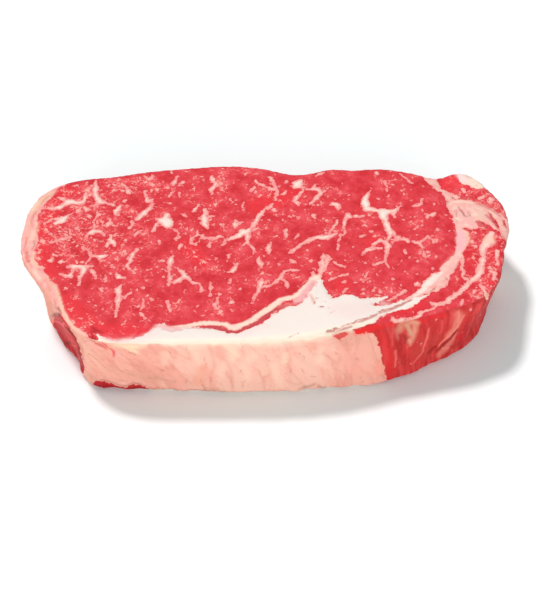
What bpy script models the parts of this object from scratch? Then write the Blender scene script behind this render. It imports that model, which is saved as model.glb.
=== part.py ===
"""A raw ribeye steak, 30 mm thick, as one closed solid that lies flat on its cut underside.

The outline of the upper cut face is a smooth loop through a few hand-placed points. At each point the foot
of the side wall is set in or out by its own amount, so that the walls lean as they do on a thick, soft slice.
The loop is lofted into a cage, rounded by Subdivision Surface, and then given the relief of the cut face: the
seams between the muscles, the proud kernel of fat and the slow swell of the lean.
"""

import math

import bmesh
import bpy
import numpy as np
from mathutils import Vector, noise

# Driving dimensions, in metres.
LENGTH = 0.190
WIDTH = 0.098
THICKNESS = 0.030
MM = 0.001

# The rim of the upper cut face, in millimetres, anticlockwise from the left end: x, y, and how far the foot
# of the wall lies inside the rim (negative: outside it).
RIM = [
    (-95.0, 10.0, 5.5),
    (-94.0, -4.5, 7.5),
    (-86.0, -17.5, 6.0),
    (-77.5, -31.0, 3.5),
    (-70.5, -42.5, 1.8),
    (-61.0, -48.3, 2.5),
    (-41.5, -49.0, 2.5),
    (-14.0, -48.5, 0.5),
    (9.0, -47.0, -0.5),
    (25.5, -43.5, -2.0),
    (38.5, -38.5, -6.0),
    (49.5, -36.5, -4.0),
    (66.0, -32.5, 0.5),
    (80.5, -26.5, 4.0),
    (88.0, -16.5, 5.0),
    (91.0, -1.0, 4.0),
    (94.5, 13.0, 3.0),
    (94.0, 26.5, 2.5),
    (88.0, 35.5, 2.0),
    (83.0, 44.5, 2.0),
    (76.0, 46.0, 2.0),
    (69.0, 40.0, 1.0),
    (60.5, 44.0, 2.0),
    (46.5, 47.3, 2.5),
    (34.0, 45.8, 2.5),
    (25.5, 48.0, 2.5),
    (12.5, 42.5, 1.0),
    (-0.5, 47.5, 2.5),
    (-12.0, 49.3, 3.0),
    (-41.5, 46.7, 3.0),
    (-64.5, 42.0, 2.5),
    (-78.5, 40.0, 2.5),
    (-88.5, 33.0, 3.5),
    (-94.0, 22.0, 4.0),
]
STATION_SPACING = 7.9  # how far apart the cage's stations are along the rim, in millimetres
SPINE = ((-66.0, -4.0), (68.0, 5.0))  # the line that the rings of the cut faces close in on

# The rings of the cage, from the middle of the underside out, up the wall and in over the upper face: height
# as a share of the thickness, lean as a share of the foot's, inset along the wall's normal in millimetres, and
# the share of the way to the spine.
RINGS = [
    (0.0, 1.0, 0.0, 0.26),
    (0.0, 1.0, 0.0, 0.12),
    (0.0, 1.0, 0.8, 0.0),
    (0.05, 1.0, -0.5, 0.0),
    (0.34, 0.95, -0.8, 0.0),
    (0.66, 0.60, -0.8, 0.0),
    (0.97, 0.02, -0.7, 0.0),
    (1.0, 0.0, 0.5, 0.0),
    (1.0, 0.0, 0.0, 0.12),
    (1.0, 0.0, 0.0, 0.26),
]
GRID_ROWS = 12  # rows of the grid that closes each cut face
GRID_CORNER = 7  # the station at the grid's front left corner
SMOOTHING_PASSES = 60  # how often the inner points of a cut face are evened out
FLATNESS = 0.001  # points this near the height of a cut face, in millimetres, lie on it

# The relief of the upper face. A seam is a soft valley along a line; a swell is a low mound.
SEAM_DEPTH = 1.1
SEAM_HALF_WIDTH = 3.6
SEAMS = {
    "eye and cap": [(69, 39), (72, 29), (73, 18), (74, 7), (71, -3), (64, -12), (55, -23), (41, -29)],
    "two strips of the cap": [(83, 7), (82, -7), (77, -17), (68, -27), (57, -33), (46, -36)],
    "cap and flap": [(71, 38), (77, 32), (85, 27), (93, 22)],
    "eye and kernel": [(-39, -39), (-23, -38), (-11, -41), (0, -33), (11, -24), (19, -15)],
}
SWELLS = [  # x, y, radius and height, in millimetres
    (9.0, -39.0, 18.0, 0.4),
    (33.0, -34.0, 14.0, 0.3),
    (81.0, 19.0, 11.0, 0.5),
]
UNEVEN_HEIGHT = 0.3  # slow rise and fall of the cut face
UNEVEN_LENGTH = 24.0
WALL_UNEVEN = 0.8  # swelling and hollowing of the side wall
WALL_UNEVEN_LENGTH = 15.0

LEAN_RED = (0.62, 0.06, 0.07, 1.0)


def smooth_loop(points, spacing):
    """Stations on a Catmull-Rom loop through the points. Each span is divided evenly, so corners keep theirs."""
    points = np.array(points)
    stations = []
    for i in range(len(points)):
        before, start, end, after = (points[(i + k) % len(points)] for k in (-1, 0, 1, 2))
        count = max(1, round(np.linalg.norm((end - start)[:2]) / spacing))
        for t in np.arange(count) / count:
            weights = (
                (-t + 2 * t**2 - t**3) / 2,
                (2 - 5 * t**2 + 3 * t**3) / 2,
                (t + 4 * t**2 - 3 * t**3) / 2,
                (-(t**2) + t**3) / 2,
            )
            stations.append(sum(w * p for w, p in zip(weights, (before, start, end, after))))
    return np.array(stations)


def inward_normals(loop):
    """The unit normal at each station that points into the loop, for a loop that runs anticlockwise."""
    along = np.roll(loop, -1, axis=0) - np.roll(loop, 1, axis=0)
    inward = np.stack([-along[:, 1], along[:, 0]], axis=1)
    return inward / np.linalg.norm(inward, axis=1)[:, None]


def towards_spine(loop, share):
    """The loop with every station moved the given share of its way to the nearest point of the spine."""
    start, end = (np.array(point) for point in SPINE)
    reach = end - start
    along = np.clip((loop - start) @ reach / (reach @ reach), 0.0, 1.0)
    return loop + share * (start + along[:, None] * reach - loop)


def ring_points(stations, height, lean, inset, spine_share):
    """One ring of the cage, as points in millimetres."""
    rim = stations[:, :2]
    loop = rim + (lean * stations[:, 2:] + inset) * inward_normals(rim)
    loop = towards_spine(loop, spine_share)
    on_wall = spine_share == 0.0 and 0.1 < height < 0.9
    if on_wall:
        rise = height * THICKNESS / MM
        swell = [noise.noise(Vector((x, y, rise)) / WALL_UNEVEN_LENGTH) for x, y in loop]
        loop = loop - WALL_UNEVEN * np.array(swell)[:, None] * inward_normals(rim)
    return [Vector((x, y, height * THICKNESS / MM)) for x, y in loop]


def close_with_grid(shape, ring):
    """Fills a ring with a grid of quads that run from its front to its back."""
    columns = len(ring) // 2 - GRID_ROWS
    turned = ring[GRID_CORNER:] + ring[:GRID_CORNER]
    front = turned[: columns + 1]
    back = turned[columns + GRID_ROWS : 2 * columns + GRID_ROWS + 1]
    runs = [shape.edges.get(pair) for run in (front, back) for pair in zip(run, run[1:])]
    bmesh.ops.grid_fill(shape, edges=runs)


def even_out(shape, ring):
    """Spreads the points of a cut face evenly, inside the loop where it meets the wall."""
    level = ring[0].co.z
    on_face = {vert for vert in shape.verts if abs(vert.co.z - level) < FLATNESS}
    inner = [vert for vert in on_face if all(edge.other_vert(vert) in on_face for edge in vert.link_edges)]
    for _ in range(SMOOTHING_PASSES):
        bmesh.ops.smooth_vert(shape, verts=inner, factor=0.5, use_axis_x=True, use_axis_y=True)


def cage():
    """The coarse cage: rings of quads up the wall, and a grid that closes each cut face."""
    stations = smooth_loop(RIM, STATION_SPACING)
    mesh = bpy.data.meshes.new("steak")
    shape = bmesh.new()
    rings = [[shape.verts.new(point) for point in ring_points(stations, *ring)] for ring in RINGS]
    count = len(stations)
    for lower, upper in zip(rings, rings[1:]):
        for i in range(count):
            j = (i + 1) % count
            shape.faces.new((lower[i], lower[j], upper[j], upper[i]))
    for ring in (rings[0], rings[-1]):
        close_with_grid(shape, ring)
        even_out(shape, ring)
    bmesh.ops.recalc_face_normals(shape, faces=shape.faces)
    shape.to_mesh(mesh)
    shape.free()
    print(f"cage: {count} stations, {len(RINGS)} rings")
    return mesh


def distance_to_line(place, line):
    """The shortest distance from a place to a line through points."""
    nearest = math.inf
    for start, end in zip(line, line[1:]):
        start, end = Vector(start), Vector(end)
        reach = end - start
        along = min(1.0, max(0.0, (place - start).dot(reach) / reach.length_squared))
        nearest = min(nearest, (place - start - along * reach).length)
    return nearest


def relief(x, y):
    """How far the upper face stands above or below its plane at this place, in millimetres."""
    place = Vector((x, y))
    height = UNEVEN_HEIGHT * noise.noise(Vector((x, y, 0.0)) / UNEVEN_LENGTH)
    for line in SEAMS.values():
        height -= SEAM_DEPTH * math.exp(-((distance_to_line(place, line) / SEAM_HALF_WIDTH) ** 2))
    for centre_x, centre_y, radius, swell in SWELLS:
        away = (place - Vector((centre_x, centre_y))).length / radius
        height += swell * math.exp(-(away**2))
    return height


def carve_upper_face(mesh):
    """Gives the upper face its relief, which fades out down the wall."""
    top = THICKNESS / MM
    for vert in mesh.vertices:
        share = min(1.0, max(0.0, (vert.co.z / top - 0.8) / 0.2))
        vert.co.z += share * relief(vert.co.x, vert.co.y)


def fit_to_size(mesh):
    """Scales the drawn shape to the driving dimensions, centred over the origin and standing on the ground."""
    points = np.array([vert.co for vert in mesh.vertices])
    lowest, highest = points.min(axis=0), points.max(axis=0)
    scale = np.array([LENGTH, WIDTH, THICKNESS]) / (highest - lowest)
    middle = np.array([*(lowest + highest)[:2] / 2, lowest[2]])
    print("drawn box in mm", lowest.round(2), highest.round(2), "scale per mm", scale.round(6))
    mesh.vertices.foreach_set("co", ((points - middle) * scale).astype(np.float32).ravel())
    mesh.update()


def raw_beef():
    material = bpy.data.materials.new("raw beef")
    material.use_nodes = True
    shader = material.node_tree.nodes["Principled BSDF"]
    shader.inputs["Base Color"].default_value = LEAN_RED
    shader.inputs["Roughness"].default_value = 0.45
    shader.inputs["Metallic"].default_value = 0.0
    return material


def main():
    for thing in list(bpy.data.objects):
        bpy.data.objects.remove(thing, do_unlink=True)
    collection = bpy.data.collections.new("raw ribeye steak")
    bpy.context.scene.collection.children.link(collection)

    steak = bpy.data.objects.new("steak", cage())
    collection.objects.link(steak)
    bpy.context.view_layer.objects.active = steak
    steak.select_set(True)
    rounding = steak.modifiers.new("rounding", "SUBSURF")
    rounding.levels = rounding.render_levels = 1
    bpy.ops.object.modifier_apply(modifier=rounding.name)

    carve_upper_face(steak.data)
    fit_to_size(steak.data)
    steak.data.materials.append(raw_beef())
    steak.data.shade_smooth()
    print(f"steak: {len(steak.data.vertices)} points, {len(steak.data.polygons)} faces")


main()
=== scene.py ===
# %% [markdown]
# # A raw ribeye steak
#
# A ribeye is a slice across several muscles. The big oval one is the eye. A thinner muscle, the cap, wraps
# round one end of it, with a band of fat between the two. A kernel of white fat sits at the front, and a rim
# of fat follows the outside. Fine threads of fat, the marbling, run all through the lean.
#
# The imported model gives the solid: one closed shape of the right size. This lesson adds the look. The shape
# is copied and made much finer, the fat is drawn on it, and one material turns the drawing into meat.

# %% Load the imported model
import math

import bpy
import numpy as np
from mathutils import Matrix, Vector, noise


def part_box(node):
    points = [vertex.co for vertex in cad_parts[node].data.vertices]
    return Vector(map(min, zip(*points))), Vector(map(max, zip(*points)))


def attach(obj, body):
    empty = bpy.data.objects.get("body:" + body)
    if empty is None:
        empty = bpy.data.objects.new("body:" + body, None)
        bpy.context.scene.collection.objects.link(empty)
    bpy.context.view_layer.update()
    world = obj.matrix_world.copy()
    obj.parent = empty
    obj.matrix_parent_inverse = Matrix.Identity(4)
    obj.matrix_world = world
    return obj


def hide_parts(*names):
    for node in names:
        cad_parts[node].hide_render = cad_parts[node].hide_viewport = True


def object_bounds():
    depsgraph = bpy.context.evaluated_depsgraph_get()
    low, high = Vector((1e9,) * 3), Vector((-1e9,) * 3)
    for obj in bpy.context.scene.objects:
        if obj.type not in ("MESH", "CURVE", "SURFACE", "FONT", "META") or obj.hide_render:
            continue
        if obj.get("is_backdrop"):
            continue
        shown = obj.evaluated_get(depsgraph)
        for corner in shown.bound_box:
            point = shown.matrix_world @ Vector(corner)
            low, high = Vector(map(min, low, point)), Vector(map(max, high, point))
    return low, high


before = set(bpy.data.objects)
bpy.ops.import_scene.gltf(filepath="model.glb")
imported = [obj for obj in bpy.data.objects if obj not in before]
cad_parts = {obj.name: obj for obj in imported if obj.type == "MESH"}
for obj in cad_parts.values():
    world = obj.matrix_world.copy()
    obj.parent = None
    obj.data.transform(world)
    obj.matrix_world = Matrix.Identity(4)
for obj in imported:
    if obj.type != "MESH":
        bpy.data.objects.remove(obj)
cad_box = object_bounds()
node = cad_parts["steak"]
low, high = (np.array(corner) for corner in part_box("steak"))
MM = (high - low)[0] / 190.0  # the drawing below is made on a steak 190 mm long
TOP = (high - low)[2] / MM  # how high the upper cut face lies, in the drawing's millimetres
print("steak, in mm:", ((high - low) / MM).round(1))

# %% [markdown]
# ## The shape
#
# The solid has points about 4 mm apart. A vein of fat is 1 to 3 mm wide, so the copy needs points closer than
# that. Subdivision Surface rounds the copy first. A voxel Remesh then lays an even net over it, and a last
# subdivision of the upper cut face puts the finest net where the eye looks first.

# %% A merged copy of the solid
NET = 1.12 * MM  # how far apart the points of the even net lie


def select_only(piece):
    bpy.ops.object.select_all(action="DESELECT")
    piece.select_set(True)
    bpy.context.view_layer.objects.active = piece


steak = bpy.data.objects.new("raw_steak", node.data.copy())
bpy.context.scene.collection.objects.link(steak)
select_only(steak)
bpy.ops.object.mode_set(mode="EDIT")
bpy.ops.mesh.select_all(action="SELECT")
bpy.ops.mesh.remove_doubles(threshold=0.01 * MM)
bpy.ops.mesh.tris_convert_to_quads()
bpy.ops.object.mode_set(mode="OBJECT")
print("merged copy:", len(steak.data.vertices), "points")


# %% Rounded, and given an even net
def finish_with(piece, kind, **settings):
    modifier = piece.modifiers.new(kind.lower(), kind)
    for name, value in settings.items():
        setattr(modifier, name, value)
    bpy.ops.object.modifier_apply(modifier=modifier.name)


finish_with(steak, "SUBSURF", levels=2, render_levels=2)
finish_with(steak, "REMESH", mode="VOXEL", voxel_size=NET, adaptivity=0.0)
finish_with(steak, "SMOOTH", factor=0.5, iterations=3)
print("even net:", len(steak.data.polygons), "faces")

# %% A finer net on the upper cut face and the front wall
bpy.ops.object.mode_set(mode="EDIT")
bpy.ops.mesh.select_mode(type="FACE")
bpy.ops.mesh.select_all(action="DESELECT")
bpy.ops.object.mode_set(mode="OBJECT")
for face in steak.data.polygons:
    in_front = face.normal.y < -0.35 and face.normal.z > -0.3
    face.select = face.normal.z > 0.6 or in_front
bpy.ops.object.mode_set(mode="EDIT")
bpy.ops.mesh.subdivide(number_cuts=1)
bpy.ops.mesh.select_all(action="DESELECT")
bpy.ops.object.mode_set(mode="OBJECT")
steak.data.shade_smooth()
steak.data.calc_loop_triangles()
print("finer net:", len(steak.data.loop_triangles), "triangles")

# %% [markdown]
# ## Drawing the fat
#
# Fat could be painted as a picture, but a picture is only as sharp as its grid, and it needs a file. Here it
# is drawn with strokes and areas, as with a brush and a lasso. A stroke is a line of points, each with its
# own width, and an area is a closed outline. For every point of the mesh we work out how deep it lies inside
# the drawing, in millimetres: above zero is fat and below zero is lean. The material reads that number, so an
# edge stays sharp at any distance, and it can be roughened afterwards.

# %% Depth inside strokes and areas
FAR = -6.0  # what counts as far outside, in millimetres


def depth_in_strokes(places, strokes):
    """How deep each place lies inside the nearest stroke; a stroke's points are (x, y, width)."""
    depth = np.full(len(places), FAR)
    for stroke in strokes:
        points = np.array(stroke if len(stroke) > 1 else stroke * 2, float)
        reach = points[:, 2].max() / 2 - FAR
        first, last = points[:, :2].min(0) - reach, points[:, :2].max(0) + reach
        near = np.all((places > first) & (places < last), axis=1)
        spots = places[near]
        best = np.full(len(spots), FAR)
        for start, end in zip(points, points[1:]):
            line = (end - start)[:2]
            along = np.clip((spots - start[:2]) @ line / max(line @ line, 1e-9), 0.0, 1.0)
            gap = np.linalg.norm(spots - start[:2] - along[:, None] * line, axis=1)
            best = np.maximum(best, (start[2] + along * (end[2] - start[2])) / 2 - gap)
        depth[near] = np.maximum(depth[near], best)
    return depth


def depth_in_area(places, corners):
    """How deep each place lies inside a closed outline of (x, y) corners."""
    corners = np.array(corners, float)
    nearest = np.full(len(places), np.inf)
    inside = np.zeros(len(places), bool)
    x, y = places.T
    for start, end in zip(corners, np.roll(corners, -1, axis=0)):
        line = end - start
        along = np.clip((places - start) @ line / (line @ line), 0.0, 1.0)
        nearest = np.minimum(nearest, np.linalg.norm(places - start - along[:, None] * line, axis=1))
        if line[1]:
            crossed = (start[1] > y) != (end[1] > y)
            inside ^= crossed & (x < start[0] + (y - start[1]) * line[0] / line[1])
    return np.maximum(np.where(inside, nearest, -nearest), FAR)


def ramp(values, start, end):
    """A soft step from 0 at start to 1 at end."""
    share = np.clip((np.asarray(values) - start) / (end - start), 0.0, 1.0)
    return share * share * (3 - 2 * share)


def cloud(points, size, shift=0.0):
    """Smooth noise from -1 to 1 at each point, with lumps of about this size."""
    spots = points / size + shift
    return np.array([noise.noise(Vector(spot)) for spot in spots.tolist()])


# %% [markdown]
# ## The areas of fat
#
# All places are millimetres on the upper cut face, from its middle: x towards the cap, y towards the back.
# Each area says how white its fat is, from 0 for rosy to 1 for white.

# %% Areas of fat on the cut face
RIM_EDGE = [
    (-80.5, 36.5), (-83.8, 34), (-84.3, 31.5), (-86.1, 27.7), (-88, 23.5), (-88.3, 21), (-89.7, 18),
    (-88.8, 14.8), (-89.9, 11), (-90, 8.5), (-88, 6.8), (-87.8, 3), (-88.6, 0), (-88.2, -5.2),
    (-87.6, -7.3), (-85.1, -9.8), (-82.6, -14.8), (-80.9, -17.3), (-78.6, -19.4), (-76.8, -24.8),
    (-74.2, -31.5), (-72.2, -37.3), (-69.7, -40.3), (-67.2, -42.3), (-65, -44.4), (-63.4, -46.9), (-61, -51),
]
KERNEL_TOP = [
    (-61.3, -44.4), (-59.7, -45.7), (-56.3, -47.3), (-53, -47.7), (-50.1, -46.9), (-48, -47.3),
    (-44.7, -45.7),
    (-42.2, -43.2), (-40.1, -40.3), (-38.2, -38.8), (-36.3, -40), (-33, -41), (-24, -41.3), (-19.8, -41.5),
    (-17, -42.3), (-15, -43.5), (-13, -44.4), (-11, -44.8), (-9, -43.8), (-6.5, -42), (-3.5, -40.8),
    (-1, -39.4), (0.6, -37.2), (1.8, -35), (4, -33.6), (6.3, -31.6), (8.5, -30.8), (11.3, -30.6), (13, -29),
    (14, -27), (15.5, -25.5), (15.2, -23), (16.8, -20.5), (18.5, -17.5), (19.9, -15.3), (21.4, -17.3),
    (21.4, -19.8), (22.3, -22.3), (23.1, -24.8), (24.3, -27.3), (26, -26.9), (27.7, -25.7), (29.8, -25.3),
    (32, -25.2), (33.3, -26.1), (35.3, -27.1), (37, -27.3), (39.5, -26.1), (42, -26.3), (43.3, -25.3),
    (44.9, -24.8), (45.3, -25.7), (43.7, -27.3), (40.3, -29), (39.9, -30.2), (44, -29.8), (48, -28.6),
    (52, -27), (56, -25.5),
]
KERNEL_FOOT = [
    (60.8, -24.8), (58.7, -26.1), (57, -28.2), (55.3, -29.8), (52.8, -31.5), (49.9, -32.3), (46.6, -33.2),
    (43.3, -35.3), (41.6, -36.5), (39.5, -38.6), (37.4, -40), (34.5, -41.1), (32, -42.5), (28, -50),
    (-30, -60), (-57, -58), (-60, -49),
]
BAND_EYE_SIDE = [
    (62.5, 41.5), (63.7, 39.3), (65.3, 37.3), (67.4, 34.8), (69.5, 33.1), (70.3, 30.2), (71.2, 27.7),
    (71.2, 23.9), (71.8, 21), (72.8, 18.1), (72.6, 14.3), (73.7, 11), (73.7, 7.3), (73.3, 4.3), (72.6, 1.4),
    (72, -2.3), (70.3, -4.4), (68.3, -6.9), (66.6, -9), (65.1, -11.9), (62.4, -14), (59.9, -16.1),
    (58.7, -18.6), (57, -20.7), (54.9, -23.6), (52, -26.1), (48.7, -27.8),
]
BAND_CAP_SIDE = [
    (55, -27), (58.7, -24.9), (60.8, -24.2), (63.3, -23.2), (65.8, -21.5), (67.8, -19.4), (69.1, -16.9),
    (69.5, -14.8), (70.8, -13.2), (71.6, -10.7), (73.3, -7.8), (74.3, -5.3), (75, -2.5), (76.4, 0),
    (77.8, 3.1), (78.3, 5.6), (78.7, 8.1), (77, 10.6), (79.9, 10.4), (82, 11), (81.6, 14.8), (82.8, 15.6),
    (84.1, 14.3), (85.8, 12.7), (87.4, 11.4), (89.9, 9.3), (91, 6.5), (92, 4.5), (98, 5), (98, 18.5),
    (93.3, 17.7), (92, 19.3), (90.3, 21), (89.1, 22.7), (87.4, 23.9), (84.9, 25.2), (82.4, 26.4),
    (79.9, 27.7), (77, 28.1), (75.8, 28.8), (77, 30.6), (74.9, 32.2), (72.4, 33.5), (70.3, 36), (68.7, 38.7),
    (68.3, 42),
]
FLAP_TIP = [
    (76.2, 43.9), (77.8, 37.7), (79.9, 36.8), (81.2, 34.8), (83.7, 33.9), (86.6, 34.3), (88.5, 36), (82, 48),
    (76.2, 48),
]
AREAS = {
    "rim": (RIM_EDGE + [(-66, -62), (-110, -45), (-110, 45), (-84, 48)], 0.36),
    "kernel": (KERNEL_TOP + KERNEL_FOOT, 1.0),
    "band": (BAND_EYE_SIDE + BAND_CAP_SIDE, 0.44),
    "flap tip": (FLAP_TIP, 0.66),
}
print("areas of fat:", ", ".join(AREAS))

# %% [markdown]
# ## The veins
#
# Each muscle carries its own pattern. At the rim end the veins are short and branch like a web, in the middle
# of the eye they are long, and at the cap end they are few and broad. The smallest flecks aren't drawn: the
# material scatters them, as thickly as each place asks for.

# %% Seams of fat beside the kernel and in the cap
SEAM_STROKES = [
    [(-34, -41.1, 1.2), (-29.8, -40.5, 1.6), (-23.2, -39.1, 2.1), (-19.8, -38.8, 2.1), (-16.9, -39.3, 1.9),
     (-14.5, -39.6, 1.9), (-13, -41, 2.3), (-11.5, -41.5, 2.5), (-9.4, -40.2, 2.3), (-5.2, -37.7, 2.2),
     (-3.2, -35.6, 2.3), (-1, -33.6, 2.3), (3.5, -29.4, 2.2), (5.6, -27.3, 2.2), (8.1, -26.3, 2.1),
     (10.6, -25.5, 2.1), (12.3, -24, 2.3), (13.9, -21.9, 2.2), (15.6, -19.4, 2), (17.3, -16.5, 2.2),
     (19.2, -15.2, 2.4)],
    [(11.5, -28, 2.6), (14.5, -25, 3.2), (16.5, -21, 2.6), (18.5, -17, 2)],
    [(20.5, -14.5, 2), (20.8, -10.7, 1.8), (21.2, -7.8, 1.8), (21.6, -5.2, 1.8), (21.8, -3.4, 1)],
    [(21.4, -12.5, 1), (22.7, -8.2, 1.6), (23.5, -5.2, 1.5), (24.7, -6.5, 0.9)],
    [(17.2, -13.2, 1), (18.4, -14.8, 1.2)],
    [(87, 9, 2), (85.5, 4.8, 4), (84, 2, 4), (82.6, -0.3, 2.8), (82.6, -3.2, 2.3), (82, -7.3, 2.3),
     (81, -10.7, 2.5), (79.9, -13.6, 2.7), (78.7, -15.7, 2.3), (77, -16.9, 2.3), (75.3, -18.6, 2.3),
     (73.7, -20.7, 2.1), (72, -22.8, 1.9), (70.3, -24.8, 1.9), (68.7, -26.1, 2.1), (67, -27.8, 1.9),
     (65.3, -28.8, 1.7), (63.3, -29.6, 1.4), (61.2, -29.2, 1.2)],
    [(62.5, -30.6, 0.9), (59.1, -32.3, 1.3), (57, -33.6, 1.5), (55.3, -35.3, 1.8), (52.8, -36.1, 1.8),
     (50.3, -36.5, 1.8), (47.8, -37.3, 2), (46.3, -36.3, 1.2)],
    [(74.4, -5, 1.2), (74.1, -9.4, 1.3), (73.9, -13, 1.4), (73.6, -15.4, 1.2), (75.5, -16.8, 1)],
    [(51.8, -22.3, 0.9), (48.5, -25, 1.1), (45.4, -27.4, 0.8)],
    [(79.9, -19.8, 0.9), (80.8, -21.5, 1.3), (81.6, -24, 1.9), (82, -26.1, 1.6), (81.2, -28.2, 0.8)],
    [(88, -2, 1.7), (87.6, -5.5, 1.5), (87.3, -9, 0.8)],
    [(84.5, -12.3, 1), (85.8, -13.2, 1.5), (86.2, -15.7, 1.1), (85, -17.6, 0.8)],
    [(72.8, -27.3, 1), (72, -29, 1.3)],
    [(77.4, -22.3, 1), (77, -24, 0.9)],
    [(77.8, 34.4, 1), (79, 33.1, 1.4)],
    [(79.5, 30.6, 1)],
    [(84.5, 28.9, 1.2), (86.2, 29.8, 1.3)],
    [(88.3, 28.4, 1.8), (89.5, 27.7, 2), (87.8, 26.4, 1.2)],
    [(85.3, 27.4, 1)],
]
print(len(SEAM_STROKES), "strokes of seam fat")

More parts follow.
